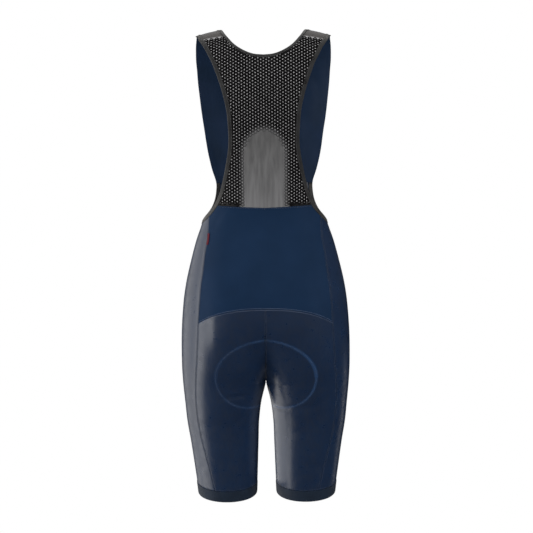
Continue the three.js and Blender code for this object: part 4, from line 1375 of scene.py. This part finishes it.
def knit_ground(name):
    """Pale filament ground: light where it shows through the holes, grey where the arch is."""
    material, tree, shader = new_material(name)
    place = add(tree, "ShaderNodeTexCoord")
    stretched = add(tree, "ShaderNodeMapping", {"Vector": place.outputs["Object"],
                                                "Scale": (1.0, 1.0, 0.06)})
    streaks = add(tree, "ShaderNodeTexNoise", {"Vector": stretched.outputs["Vector"],
                                               "Scale": 0.35 / STREAK, "Detail": 3.0})
    closed = add(tree, "ShaderNodeAttribute", attribute_name="closed").outputs["Fac"]
    hidden = add(tree, "ShaderNodeAttribute", attribute_name="hidden").outputs["Fac"]
    tone = mapped(tree, streaks.outputs["Fac"], 0, 1, 0.32, 0.68)
    height = add(tree, "ShaderNodeSeparateXYZ", {0: place.outputs["Object"]}).outputs["Z"]
    low = mapped(tree, height, 1, 0, -0.335, -0.215)
    arch = mix_colours(tree, tone, mix_colours(tree, low, "#555556", "#646466"),
                       mix_colours(tree, low, "#69696a", "#7e7e80"))
    face = mix_colours(tree, closed, "#d0d0d2", arch)
    # both straps are lined at the shoulder, and no holes show there
    cut = add(tree, "ShaderNodeUVMap", uv_map="cut")
    down = add(tree, "ShaderNodeSeparateXYZ", {0: cut.outputs["UV"]}).outputs["Y"]
    lined = mapped(tree, down, 0, 1, -0.0465, -0.0405)
    face = mix_colours(tree, lined, face, "#3a3635")
    feed(tree, shader, Base_Color=mix_colours(tree, hidden, face, "#151417"),
         Normal=bumped(tree, ribs(tree, STREAK, 2.0 * MM), 0.25, 0.08 * MM))
    feed(tree, shader, Roughness=0.75, IOR=1.5, Sheen_Weight=0.2, Sheen_Roughness=0.5)
    return material


ground_knit = knit_ground("pale_knit_ground")
backing_knit, backing_tree, backing_shader = new_material("charcoal_knit_backing")
feed(backing_tree, backing_shader, IOR=1.5, Roughness=0.8, Sheen_Weight=0.25,
     Base_Color=patchy(backing_tree, 0.02, "#232326", "#2c2c2f"),
     Normal=bumped(backing_tree, ribs(backing_tree, STREAK, 2.0 * MM), 0.5, 0.15 * MM))


WAIST_REACH = 80  # how far the waist seam runs from the middle, about
HIDDEN_FROM, HIDDEN_FADE = 331.5, 1.5  # the drop below which no pale ground shows at the seam


def near_waist(path, lateral):
    """How far above the waist seam a place lies."""
    waist = BACK_WAIST_MIDDLE + (BACK_WAIST_END - BACK_WAIST_MIDDLE) * np.abs(lateral) / WAIST_REACH
    return path_of(waist) - path


def mesh_ground():
    obj = panel("mesh_ground", [strap_left, strap_right, mesh_back], ground_knit, NET - 0.3)
    mesh = obj.data
    mesh.materials.append(backing_knit)
    points = vertex_points(mesh) / MM
    drop = -points[:, 2]
    closed = arch_share(points[:, 0], drop)
    hidden = np.clip((drop - HIDDEN_FROM) / HIDDEN_FADE, 0, 1) * (1 - closed)
    for name, values in (("closed", closed), ("hidden", hidden)):
        layer = mesh.attributes.new(name, "FLOAT", "POINT")
        layer.data.foreach_set("value", values)
    half = len(mesh.polygons) // 2
    inner = [0] * len(mesh.polygons)
    for polygon in mesh.polygons:
        if polygon.index >= half and polygon.normal.y < 0.05:
            inner[polygon.index] = 1
    mesh.polygons.foreach_set("material_index", inner)
    return obj


ground = mesh_ground()
print("ground faces:", len(ground.data.polygons))

# %% Lattice of holes
HOLE_COLUMN, HOLE_ROW = 5.17, 6.15
LATTICE_COLUMNS, LATTICE_ROWS = 40, 75  # enough to reach past every edge of the mesh
EDGE_SAMPLES, CLOSED_SHARE = 900, 0.97  # no hole where the arch is closed by that share
CLEAR_OF_TRIM, CLEAR_OF_NECK, CLEAR_OF_SEAM, PLAIN_TOP = 5.2, 4.2, 3.6, 45.0


def nearest_distance(points, chain):
    """Distance from each point to a chain of points, in chunks to save memory."""
    return np.concatenate([
        np.sqrt(((points[i : i + 500, None] - chain[None]) ** 2).sum(-1).min(1))
        for i in range(0, len(points), 500)])


def hole_lattice():
    """Lattice points on the left half and the middle, where the mesh lies."""
    c, r = [a.reshape(-1) for a in np.meshgrid(
        np.arange(LATTICE_COLUMNS), np.arange(LATTICE_ROWS), indexing="ij")]
    lateral = c * HOLE_COLUMN
    path = (r + 0.5 * (c % 2)) * HOLE_ROW + 1.0
    around = middle_line(drop_of(path), False) - lateral
    keep = around > 0
    lateral, path, around = lateral[keep], path[keep], around[keep]
    point = spot(around, path)
    t = np.linspace(0, 1, EDGE_SAMPLES)
    trim, neck = armhole.at(t[t < bottom]), back_neck.at(t)
    trim_gap, neck_gap = [nearest_distance(point, spot(*edge)) for edge in (trim, neck)]
    edge_around = np.interp(path, trim[1], trim[0])
    neck_around, neck_path = neck
    neck_lateral = middle_line(drop_of(neck_path), False) - neck_around
    neck_level = np.interp(lateral, neck_lateral[::-1], neck_path[::-1])
    below_neck = path > np.where(lateral > neck_lateral[0], 0, neck_level)
    waist_gap = near_waist(path, lateral)
    keep = ((around > edge_around) & below_neck & (trim_gap > CLEAR_OF_TRIM)
            & (neck_gap > CLEAR_OF_NECK) & (waist_gap > CLEAR_OF_SEAM) & (path > PLAIN_TOP))
    keep &= arch_share(point[:, 0], drop_of(path)) < CLOSED_SHARE
    return around[keep], path[keep]


def hole_points():
    around, path = hole_lattice()
    here, out = cloth(around, path)
    down = unit(slopes_at(around, path)[2])
    sides = []
    for side in (1, -1):
        use = np.abs(here[:, 0]) > 0.01 if side < 0 else slice(None)
        at, facing, along = [on_side(a[use], side) for a in (here, out, down)]
        sides.append([at + facing * relief(at)[:, None], facing, along])
    return [np.vstack(pair) for pair in zip(*sides)]


hole_at, hole_out, hole_down = hole_points()
print("holes:", len(hole_at))

# %% Rings of the net, as a Geometry Nodes tree
HOLE_SIZE, RING_REACH, RING_HEIGHT = 2.4 * MM, 3.62 * MM, 0.85 * MM


SOCKETS = {float: "NodeSocketFloat", int: "NodeSocketInt", type(None): "NodeSocketMaterial"}
RING_SIDES, SECTION_SIDES = 12, 4


def new_tree(name, **inputs):
    """A geometry tree with named inputs and their default values, and what its input node gives."""
    tree = bpy.data.node_groups.new(name, "GeometryNodeTree")
    tree.interface.new_socket("Geometry", in_out="INPUT", socket_type="NodeSocketGeometry")
    for label, value in inputs.items():
        kind = SOCKETS[type(value)]
        socket = tree.interface.new_socket(label, in_out="INPUT", socket_type=kind)
        if value is not None:
            socket.default_value = value
    tree.interface.new_socket("Geometry", in_out="OUTPUT", socket_type="NodeSocketGeometry")
    return tree, add(tree, "NodeGroupInput").outputs


def set_on_points(tree, points, piece, scale, material):
    """Sets a piece on every point, turned to the cloth there, and makes one mesh of them."""
    placed = add(tree, "GeometryNodeInstanceOnPoints", {
        "Points": points, "Instance": piece.outputs[0], "Rotation": facing_rotation(tree),
        "Scale": scale})
    real = add(tree, "GeometryNodeRealizeInstances", {"Geometry": placed.outputs[0]})
    smooth = add(tree, "GeometryNodeSetShadeSmooth", {"Geometry": real.outputs[0]})
    painted = add(tree, "GeometryNodeSetMaterial", {"Geometry": smooth.outputs[0],
                                                    "Material": material})
    add(tree, "NodeGroupOutput", {"Geometry": painted.outputs[0]})


def facing_rotation(tree):
    """A turn whose Z axis is the cloth's outward direction and whose X axis follows 'along'."""
    named = {name: add(tree, "GeometryNodeInputNamedAttribute", {"Name": name},
                       data_type="FLOAT_VECTOR").outputs["Attribute"] for name in ("along", "out")}
    lie = add(tree, "FunctionNodeAlignRotationToVector", {"Vector": named["along"]}, axis="X")
    face = add(tree, "FunctionNodeAlignRotationToVector",
               {"Rotation": lie.outputs[0], "Vector": named["out"]}, axis="Z", pivot_axis="X")
    return face.outputs[0]


def ring_net_tree():
    tree, given = new_tree("ring_net", Hole=HOLE_SIZE, Reach=RING_REACH, Height=RING_HEIGHT,
                           Unevenness=0.04, Seed=7, Yarn=None)
    do = partial(maths, tree)
    inner = do("MULTIPLY", given["Hole"], 0.5)
    radius = do("MULTIPLY", do("ADD", inner, given["Reach"]), 0.5)
    width = do("SUBTRACT", given["Reach"], inner)
    loop, section_loop = [
        add(tree, "GeometryNodeCurvePrimitiveCircle", {"Resolution": sides, "Radius": size})
        for sides, size in ((RING_SIDES, radius), (SECTION_SIDES, 0.5))]
    size = add(tree, "ShaderNodeCombineXYZ", {0: width, 1: given["Height"], 2: 1.0})
    section_curve = add(tree, "GeometryNodeTransform", {"Geometry": section_loop.outputs[0],
                                                        "Scale": size.outputs[0]})
    ring = add(tree, "GeometryNodeCurveToMesh", {"Curve": loop.outputs[0],
                                                 "Profile Curve": section_curve.outputs[0]})
    low, high = [do(way, 1.0, given["Unevenness"]) for way in ("SUBTRACT", "ADD")]
    spread = add(tree, "FunctionNodeRandomValue", {2: low, 3: high, "Seed": given["Seed"]})
    set_on_points(tree, given["Geometry"], ring, spread.outputs[1], given["Yarn"])
    return tree


def points_object(name, points, attributes, edges=()):
    mesh = bpy.data.meshes.new(name)
    mesh.from_pydata((points * MM).tolist(), [list(map(int, e)) for e in edges], [])
    for label, values in attributes.items():
        kind = "FLOAT_VECTOR" if values.ndim > 1 else "FLOAT"
        layer = mesh.attributes.new(label, kind, "POINT")
        layer.data.foreach_set("vector" if values.ndim > 1 else "value", values.reshape(-1))
    return linked(name, mesh)


def grown(obj, tree, **inputs):
    """Runs a tree on an object and keeps the result as its plain mesh."""
    modifier = obj.modifiers.new("tree", "NODES")
    modifier.node_group = tree
    for item in tree.interface.items_tree:
        if item.in_out == "INPUT" and item.name in inputs:
            modifier[item.identifier] = inputs[item.name]
    return frozen(obj)


def net_yarn(name):
    """Black texturised yarn of the face, turning grey where the arch begins."""
    material, tree, shader = new_material(name)
    closed = add(tree, "ShaderNodeAttribute", attribute_name="closed").outputs["Fac"]
    yarn = patchy(tree, 0.004, "#100e11", "#1a181b")
    feed(tree, shader, Base_Color=mix_colours(tree, closed, yarn, "#5a5a5c"),
         Normal=bumped(tree, slow_noise(tree, 0.0007), 0.5, 0.1 * MM),
         Roughness=0.75, IOR=1.5, Specular_IOR_Level=0.2)
    return material


net_points = points_object("mesh_net", hole_at, {
    "out": hole_out, "along": hole_down, "closed": arch_share(hole_at[:, 0], -hole_at[:, 2])})
mesh_net = grown(net_points, ring_net_tree(), Yarn=net_yarn("black_mesh_yarn"))
print("net:", triangles(mesh_net), "triangles")

# %% [markdown] ## The seat pad  The pad is moulded foam under brushed knit, sewn inside the
# seat and through the crotch. Its closed form comes from the same sections as the seat, a
# little inside it. Cloth with pressure swells it to a soft crown, its faces are halved once,
# and then two pairs of sewn channels are pressed in.

# %% Pad form
PAD_LOWEST, PAD_FRONT_TOP, PAD_FRONT_REACH, PAD_NARROWEST = 728, 624, 60, 8
PAD_STANDOFF, PAD_RIM, PAD_LOFT, PAD_END_THINNING = KNIT + 2, 2.5, 6.0, 0.7
PAD_GRID, PAD_COLUMNS, PAD_LOW_ROWS, PAD_WELD = 3.0, 30, 20, 0.3 * MM


def pad_away(drop):
    return (drop - PAD_LEVEL) / np.where(drop < PAD_LEVEL, PAD_UP, PAD_DOWN)


def pad_edge(drop, reach):
    power = np.where(drop < PAD_LEVEL, PAD_ROUNDNESS, PAD_SQUARENESS)
    return reach * np.maximum(0, 1 - pad_away(drop) ** 2) ** power


def inseam_at(drop, front):
    return by_chunks(lambda d: section(d, front)[2][:, -1], drop)


def pad_levels(front):
    top = PAD_FRONT_TOP if front else PAD_LEVEL - PAD_UP
    span = CROTCH - top
    upper = CROTCH - span * np.linspace(1, 0, round(span / PAD_GRID) + 1) ** 1.6
    return np.concatenate([upper, np.linspace(CROTCH, PAD_LOWEST, PAD_LOW_ROWS)[1:]])


def pad_part(front, shrink):
    """Outer and inner faces of a quarter of the pad."""
    levels = pad_levels(front)
    reach = PAD_FRONT_REACH if front else PAD_BACK_REACH
    x = np.maximum(inseam_at(levels, front) + PAD_NARROWEST, pad_edge(levels, reach))
    middle, edge = middle_line(levels, front), round_at(x, levels, front)
    share = np.linspace(0, 1, PAD_COLUMNS)
    around = middle[:, None] + (edge - middle)[:, None] * share
    points, out = cloth(around, path_of(levels)[:, None])
    away = np.minimum(1, share[None] ** 2 + (pad_away(levels) ** 2 * PAD_END_THINNING)[:, None])
    depth = PAD_RIM + PAD_LOFT * (1 - away) - shrink
    start = PAD_STANDOFF + shrink / 2
    faces = [points - out * start, points - out * (start + depth)[..., None]]
    for face in faces:
        face[levels <= CROTCH, 0, 0] = 0.0
    return faces


def pad_mesh(name, material, shrink):
    points, faces, start = [], [], 0
    for front in (False, True):
        grids = pad_part(front, shrink)
        for side in (1, -1):
            for grid in grids:
                rows, columns = grid.shape[:2]
                points.append(on_side(grid, side).reshape(-1, 3))
                faces.append(grid_faces(rows, columns, start))
                start += rows * columns
            low = start - 2 * rows * columns
            ids = np.arange(rows * columns).reshape(rows, columns) + low
            border = np.concatenate([ids[0], ids[1:, -1], ids[-1, -2::-1]])
            other = border + rows * columns
            faces.append(np.stack([border[:-1], border[1:], other[1:], other[:-1]], axis=1))
    obj = new_piece(name, np.vstack(points), np.vstack(faces), material)
    weld(obj, PAD_WELD)
    outward_normals(obj)
    return obj


PAD_VOXEL, PAD_PRESSURE, PAD_MOST, PAD_STEPS = 3.0 * MM, 4.0, 2.0 * MM, 20


def swollen(obj):
    """Voxel remesh, some steps of Cloth with pressure, a cap on how far a point may move."""
    remesh = obj.modifiers.new("even_faces", "REMESH")
    remesh.mode, remesh.voxel_size = "VOXEL", PAD_VOXEL
    frozen(obj)
    before = vertex_points(obj.data)
    cloth_modifier = obj.modifiers.new("pressure", "CLOTH")
    settings = cloth_modifier.settings
    settings.use_pressure, settings.uniform_pressure_force = True, PAD_PRESSURE
    settings.effector_weights.gravity = 0
    settings.quality = 4
    for frame_number in range(1, PAD_STEPS + 1):
        scene.frame_set(frame_number)
    frozen(obj)
    print("cloth pressure ran for", PAD_STEPS, "steps")
    move = vertex_points(obj.data) - before
    size = np.linalg.norm(move, axis=1, keepdims=True)
    capped = before + move * np.minimum(1, PAD_MOST / np.maximum(size, 1e-9))
    obj.data.vertices.foreach_set("co", capped.reshape(-1))
    scene.frame_set(1)
    finer = obj.modifiers.new("finer", "SUBSURF")
    finer.levels = finer.render_levels = 1
    frozen(obj)
    return size.max()


def brushed_knit(name):
    """Brushed microfibre over foam: a short nap that catches light at its edges."""
    material, tree, shader = new_material(name)
    feed(tree, shader, Base_Color=patchy(tree, 0.015, "#22375c", "#2b4470"),
         Normal=bumped(tree, slow_noise(tree, 0.0012), 0.35, 0.2 * MM),
         Roughness=0.85, IOR=1.45, Sheen_Weight=0.5, Sheen_Roughness=0.5)
    return material


pad_knit = brushed_knit("blue_brushed_pad_knit")
pad = pad_mesh("chamois_pad", pad_knit, 0.8)
moved = swollen(pad)
print("pad swells by up to", round(moved / MM, 1), "mm;", len(pad.data.polygons), "faces")

# %% Pad channels
CHANNELS = [(14.0, 0.9, 2.6), (38.0, 0.8, 2.6)]  # distance from the middle, depth, width


def press_channels(obj):
    """Presses two pairs of sewn channels into the skin side of the pad."""
    mesh = obj.data
    points = vertex_points(mesh) / MM
    normals = np.zeros(points.size)
    mesh.vertex_normals.foreach_get("vector", normals)
    normals = normals.reshape(-1, 3)
    inner_side = normals[:, 1] * np.sign(points[:, 1] + 1e-9) < 0.2
    sink = np.zeros(len(points))
    for x, depth, width in CHANNELS:
        sink += depth * np.exp(-(((np.abs(points[:, 0]) - x) / width) ** 2))
    points -= normals * (sink * inner_side)[:, None]
    mesh.vertices.foreach_set("co", (points * MM).reshape(-1))


press_channels(pad)
print("pad channels:", 2 * len(CHANNELS))

# %% [markdown]
# ## The side tab
#
# A short piece of plain red tape is folded in half and caught in the left side seam. Its fold is
# the free end, and it lies flat on the yoke.

# %% Side tab
TAB_TOP, TAB_HEIGHT, TAB_WIDTH, TAB_THICKNESS = 391, 21, 4.5, 0.9
TAB_LAYER, TAB_LIFT, TAB_CLEARANCE, TAB_WAVE = 0.42, 0.35, 0.15, 0.25


def woven_tape(name):
    """Plain woven polyester tape: fine ribs, satin gloss."""
    material, tree, shader = new_material(name)
    feed(tree, shader, Base_Color=patchy(tree, 0.004, "#5c1022", "#6b1528"),
         Normal=bumped(tree, ribs(tree, 0.8 * MM, 0.8 * MM), 0.5, 0.1 * MM),
         Roughness=0.6, IOR=1.5, Specular_IOR_Level=0.2, Sheen_Weight=0.03)
    return material


def side_tab():
    """A folded loop: two layers of tape round a small bead at the fold."""
    rows = np.linspace(0, 1, 14)
    loop = [(0.0, 0.0), (TAB_WIDTH - 0.6, 0.0), (TAB_WIDTH - 0.2, 0.12), (TAB_WIDTH, 0.45),
            (TAB_WIDTH - 0.2, 0.78), (TAB_WIDTH - 0.6, TAB_THICKNESS), (0.0, TAB_THICKNESS),
            (0.0, TAB_THICKNESS - TAB_LAYER), (TAB_WIDTH - 0.9, 0.5),
            (TAB_WIDTH - 0.9, TAB_LAYER), (0.0, TAB_LAYER)]
    profile = np.array(loop)
    drop = (TAB_TOP + TAB_HEIGHT * rows)[:, None]
    around = side_seam(drop, False) + SEAM_GAP + profile[:, 0]
    points, out = cloth(around, path_of(drop))
    wave = TAB_WAVE * np.sin(rows * 5.0)[:, None] * (profile[:, 0] / TAB_WIDTH)
    points = points + out * (TAB_LIFT + profile[:, 1] + wave + TAB_CLEARANCE)[..., None]
    uv = np.stack(np.broadcast_arrays(profile[:, 0], -drop), axis=-1)
    return tube("side_tab_tape", points, woven_tape("red_woven_tape"), uv, closed=False)


tab = side_tab()
print("tab faces:", len(tab.data.polygons))

# %% [markdown]
# ## Stitches
#
# The panels are joined by flat seams with a row of stitches on each side, and single rows hold
# the trims and the hems. One Geometry Nodes tree sews them all: it walks along each row at the
# stitch pitch and lays down a small bead of thread along the row, turned to lie on the cloth.
# The real stitch is about 2.5 mm long. It is drawn a little longer and thicker so that it shows.

# %% Stitch rows
STITCH_LIFT = 0.22


def row_on(around, path, side, lift=STITCH_LIFT, creased=True):
    """A row of thread over places on the cloth: its points and outward directions."""
    points, out = cloth(around, path)
    points, out = on_side(points, side), on_side(out, side)
    rise = lift + (relief(points) if creased else 0.0)
    return points + out * np.asarray(rise)[..., None], out


def both(rows):
    """The same rows on both sides."""
    return [row_on(*row, side=side, **extra) for row, extra in rows for side in (1, -1)]


SEAM_ROW = 1.9  # distance from a seam to the stitches beside it
CUFF_ROW, ARMHOLE_ROW, NECK_ROW, HEM_ROW = 1.8, 1.5, 1.3, 1.0  # and from the other edges
SHORT_OF_END = 0.985  # rows stop here, short of the seam that crosses them


def side_rows(front):
    top = float(drop_of(armhole.inside(np.array([front_seam_top if front else back_seam_top]),
                                       ARMHOLE_TRIM_WIDTH)[1])[0])
    drop = np.linspace(top + 3, CUFF_SEAM - 2, 260)
    seam = side_seam(drop, front)
    return [(dipped(seam + offset, path_of(drop)), {}) for offset in (-SEAM_ROW, SEAM_ROW)]


def arc_rows():
    share = np.linspace(0.0, SHORT_OF_END, 90)
    return [(between_seams(share, arc_level(share) + offset, False), {})
            for offset in (-SEAM_ROW, SEAM_ROW)]


def middle_rows(front):
    top = float(FRONT_WAIST) + 3 if front else BACK_ARC_MIDDLE + 3.0
    drop = np.concatenate([np.linspace(top, CROTCH - 20, 120),
                           CROTCH - 20 * np.linspace(1, 0.1, 24)[1:] ** 1.7])
    sign = 1 if front else -1
    return [((middle_line(drop, front) + sign * SEAM_ROW, path_of(drop)), {})]


def inseam_rows():
    drop = np.linspace(CROTCH + 6, CUFF_SEAM - 2, 120)
    return [((middle_line(drop, front) + (1 if front else -1) * SEAM_ROW, path_of(drop)), {})
            for front in (False, True)]


def waist_rows(front):
    middle, corner_share, corner_drop = waist_corner(front)
    share = np.linspace(0, SHORT_OF_END, 70)
    drop = middle + (corner_drop - middle) * share
    return [(between_seams(corner_share * share, drop + offset, front), {})
            for offset in ((SEAM_ROW,) if not front else (-SEAM_ROW, SEAM_ROW))]


def edge_row(edge, start, stop, distance, lift):
    t = np.linspace(start, stop, 300)
    return (edge.inside(t, np.full_like(t, distance)), {"lift": lift, "creased": False})


def cuff_rows():
    share, drop = np.linspace(0, 1, 90), np.full(90, CUFF_SEAM - CUFF_ROW)
    return [(dipped(middle_line(drop, front) * share, path_of(drop)), {"creased": False})
            for front in (False, True)]


def pad_rows():
    """The row that holds the pad, seen on the outside of the seat."""
    up = PAD_LEVEL - PAD_UP * PAD_LINE * np.cos(np.linspace(0, math.pi / 2, 90))
    down = PAD_LEVEL + PAD_DOWN * PAD_LINE * np.sin(np.linspace(0, 0.47 * math.pi, 50))[1:]
    drop = np.concatenate([up, down])
    x = PAD_LINE * pad_edge(PAD_LEVEL + (drop - PAD_LEVEL) / PAD_LINE, PAD_BACK_REACH)
    x = np.where(drop > PAD_LEVEL, np.maximum(x, inseam_at(drop, False) + PAD_NARROWEST), x)
    return [((round_at(x, drop, False), path_of(drop)), {})]


def stitch_tree():
    tree, given = new_tree("stitch_rows", Pitch=3.2 * MM, Length=2.7 * MM, Width=0.75 * MM,
                           Height=0.6 * MM, Unevenness=0.08, Seed=3, Thread=None)
    rows = add(tree, "GeometryNodeMeshToCurve", {"Mesh": given["Geometry"]})
    spaced = add(tree, "GeometryNodeResampleCurve", {
        "Curve": rows.outputs[0], "Length": given["Pitch"]}, mode="LENGTH")
    tangent = add(tree, "GeometryNodeInputTangent")
    along = add(tree, "GeometryNodeStoreNamedAttribute", {
        "Geometry": spaced.outputs[0], "Name": "along", "Value": tangent.outputs[0]},
        data_type="FLOAT_VECTOR", domain="POINT")
    bead = add(tree, "GeometryNodeMeshUVSphere", {"Segments": 6, "Rings": 4, "Radius": 0.5})
    low = maths(tree, "SUBTRACT", 1.0, given["Unevenness"])
    uneven = add(tree, "FunctionNodeRandomValue", {2: low, 3: 1.0, "Seed": given["Seed"]})
    length = maths(tree, "MULTIPLY", uneven.outputs[1], given["Length"])
    size = add(tree, "ShaderNodeCombineXYZ", {0: length, 1: given["Width"], 2: given["Height"]})
    set_on_points(tree, along.outputs[0], bead, size.outputs[0], given["Thread"])
    return tree


STITCH_TREE = stitch_tree()


def sewn(name, rows, thread):
    """Sews rows with one thread."""
    points, out, edges, start = [], [], [], 0
    for row_points, row_out in rows:
        count = len(row_points)
        points.append(row_points)
        out.append(row_out)
        edges += [(start + k, start + k + 1) for k in range(count - 1)]
        start += count
    obj = points_object(name, np.vstack(points), {"out": np.vstack(out)}, edges)
    return grown(obj, STITCH_TREE, Thread=thread)


def thread_finish(name, colour):
    """Textured polyester thread: fine twist, soft gloss."""
    material, tree, shader = new_material(name)
    darker = "#" + "".join(f"{int(int(colour[i : i + 2], 16) * 0.88):02x}" for i in (1, 3, 5))
    feed(tree, shader, Base_Color=patchy(tree, 0.008, darker, colour),
         Normal=bumped(tree, slow_noise(tree, 0.0005), 0.4, 0.05 * MM),
         Roughness=0.45, IOR=1.5, Sheen_Weight=0.3)
    return material


navy_thread = thread_finish("navy_sewing_thread", "#33415c")
blue_thread = thread_finish("blue_sewing_thread", "#64779c")
grey_thread = thread_finish("grey_sewing_thread", "#4a4a4c")

seam_stitches = sewn("seam_stitches", both(
    side_rows(False) + side_rows(True) + middle_rows(False) + middle_rows(True) + inseam_rows()
    + waist_rows(True) + waist_rows(False) + cuff_rows() + pad_rows()), navy_thread)
blue_stitches = sewn("arc_stitches", both(arc_rows()), blue_thread)
trim_stitches = sewn("trim_stitches", both([
    edge_row(armhole, 0.004, front_waist_end - 0.003, ARMHOLE_TRIM_WIDTH - ARMHOLE_ROW,
             TRIM_PROUD + 0.1),
    edge_row(back_neck, 0.01, 0.995, NECK_TRIM_WIDTH - NECK_ROW, TRIM_PROUD + 0.1)]),
    grey_thread)
hem_stitches = sewn("bib_hem_stitches", both([
    edge_row(armhole, front_waist_end + 0.006, 0.996, ARMHOLE_TRIM_WIDTH - HEM_ROW,
             HEM_LIFT + 0.15),
    edge_row(front_neck, 0.01, 0.995, 7.0, 0.15)]), navy_thread)
for obj in (seam_stitches, blue_stitches, trim_stitches, hem_stitches):
    print(obj.name, triangles(obj), "triangles")

# %% [markdown]
# ## What each piece stands for
#
# Every cloth piece replaces its solid and rides on the garment's one body. A stretched piece was
# cut smaller than it is worn: this cloth stretches by about a fifth round the body and a little
# along it, which gives the flat sizes here.

# %% Pieces on the body, and their cut sizes
STRETCH_ROUND, STRETCH_DOWN = 1.2, 1.04


def cut_size(obj):
    """Width, length and area of the flat cut, from the cloth's own coordinates."""
    uv = np.zeros(len(obj.data.loops) * 2)
    obj.data.uv_layers["cut"].data.foreach_get("uv", uv)
    span = np.ptp(uv.reshape(-1, 2), axis=0)
    width, length = span[0] / STRETCH_ROUND, span[1] / STRETCH_DOWN
    area = flat_area(obj) / (STRETCH_ROUND * STRETCH_DOWN)
    return width, length, area


def declare(obj, node):
    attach(obj, "root")
    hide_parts(node)
    width, length, area = cut_size(obj)
    print(f"{node}: {width:.3f} x {length:.3f} m, area {area:.4f} m2")


for extra, slot in ((mesh_net, "back_mesh"), (seam_stitches, "navy_knit"),
                    (blue_stitches, "navy_knit"), (trim_stitches, "binding"),
                    (hem_stitches, "navy_knit")):
    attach(extra, "root")
tapes = {"neck_binding": neck_binding}
tapes.update({f"armhole_binding_{hand}": tape for hand, tape in armhole_bindings.items()})
for node, tape in tapes.items():
    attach(tape, "root")
    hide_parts(node)
declare(ground, "back_mesh")
declare(back_yoke, "back_yoke")
declare(bib_front, "bib_front")
for (part, hand), obj in shorts_panels.items():
    declare(obj, f"{part}_{hand}")
for hand in ("left", "right"):
    declare(grippers[hand], f"leg_gripper_{hand}")
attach(pad, "root")
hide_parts("seat_pad")
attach(tab, "root")
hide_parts("side_tab")

# %% [markdown]
# ## The size of the whole
#
# The frame's box is printed here. The cloth must stay within the frame's box but for what
# stands proud of it.

# %% Size of the frame
print("solids", [round(v, 4) for v in (*cad_low, *cad_high)])
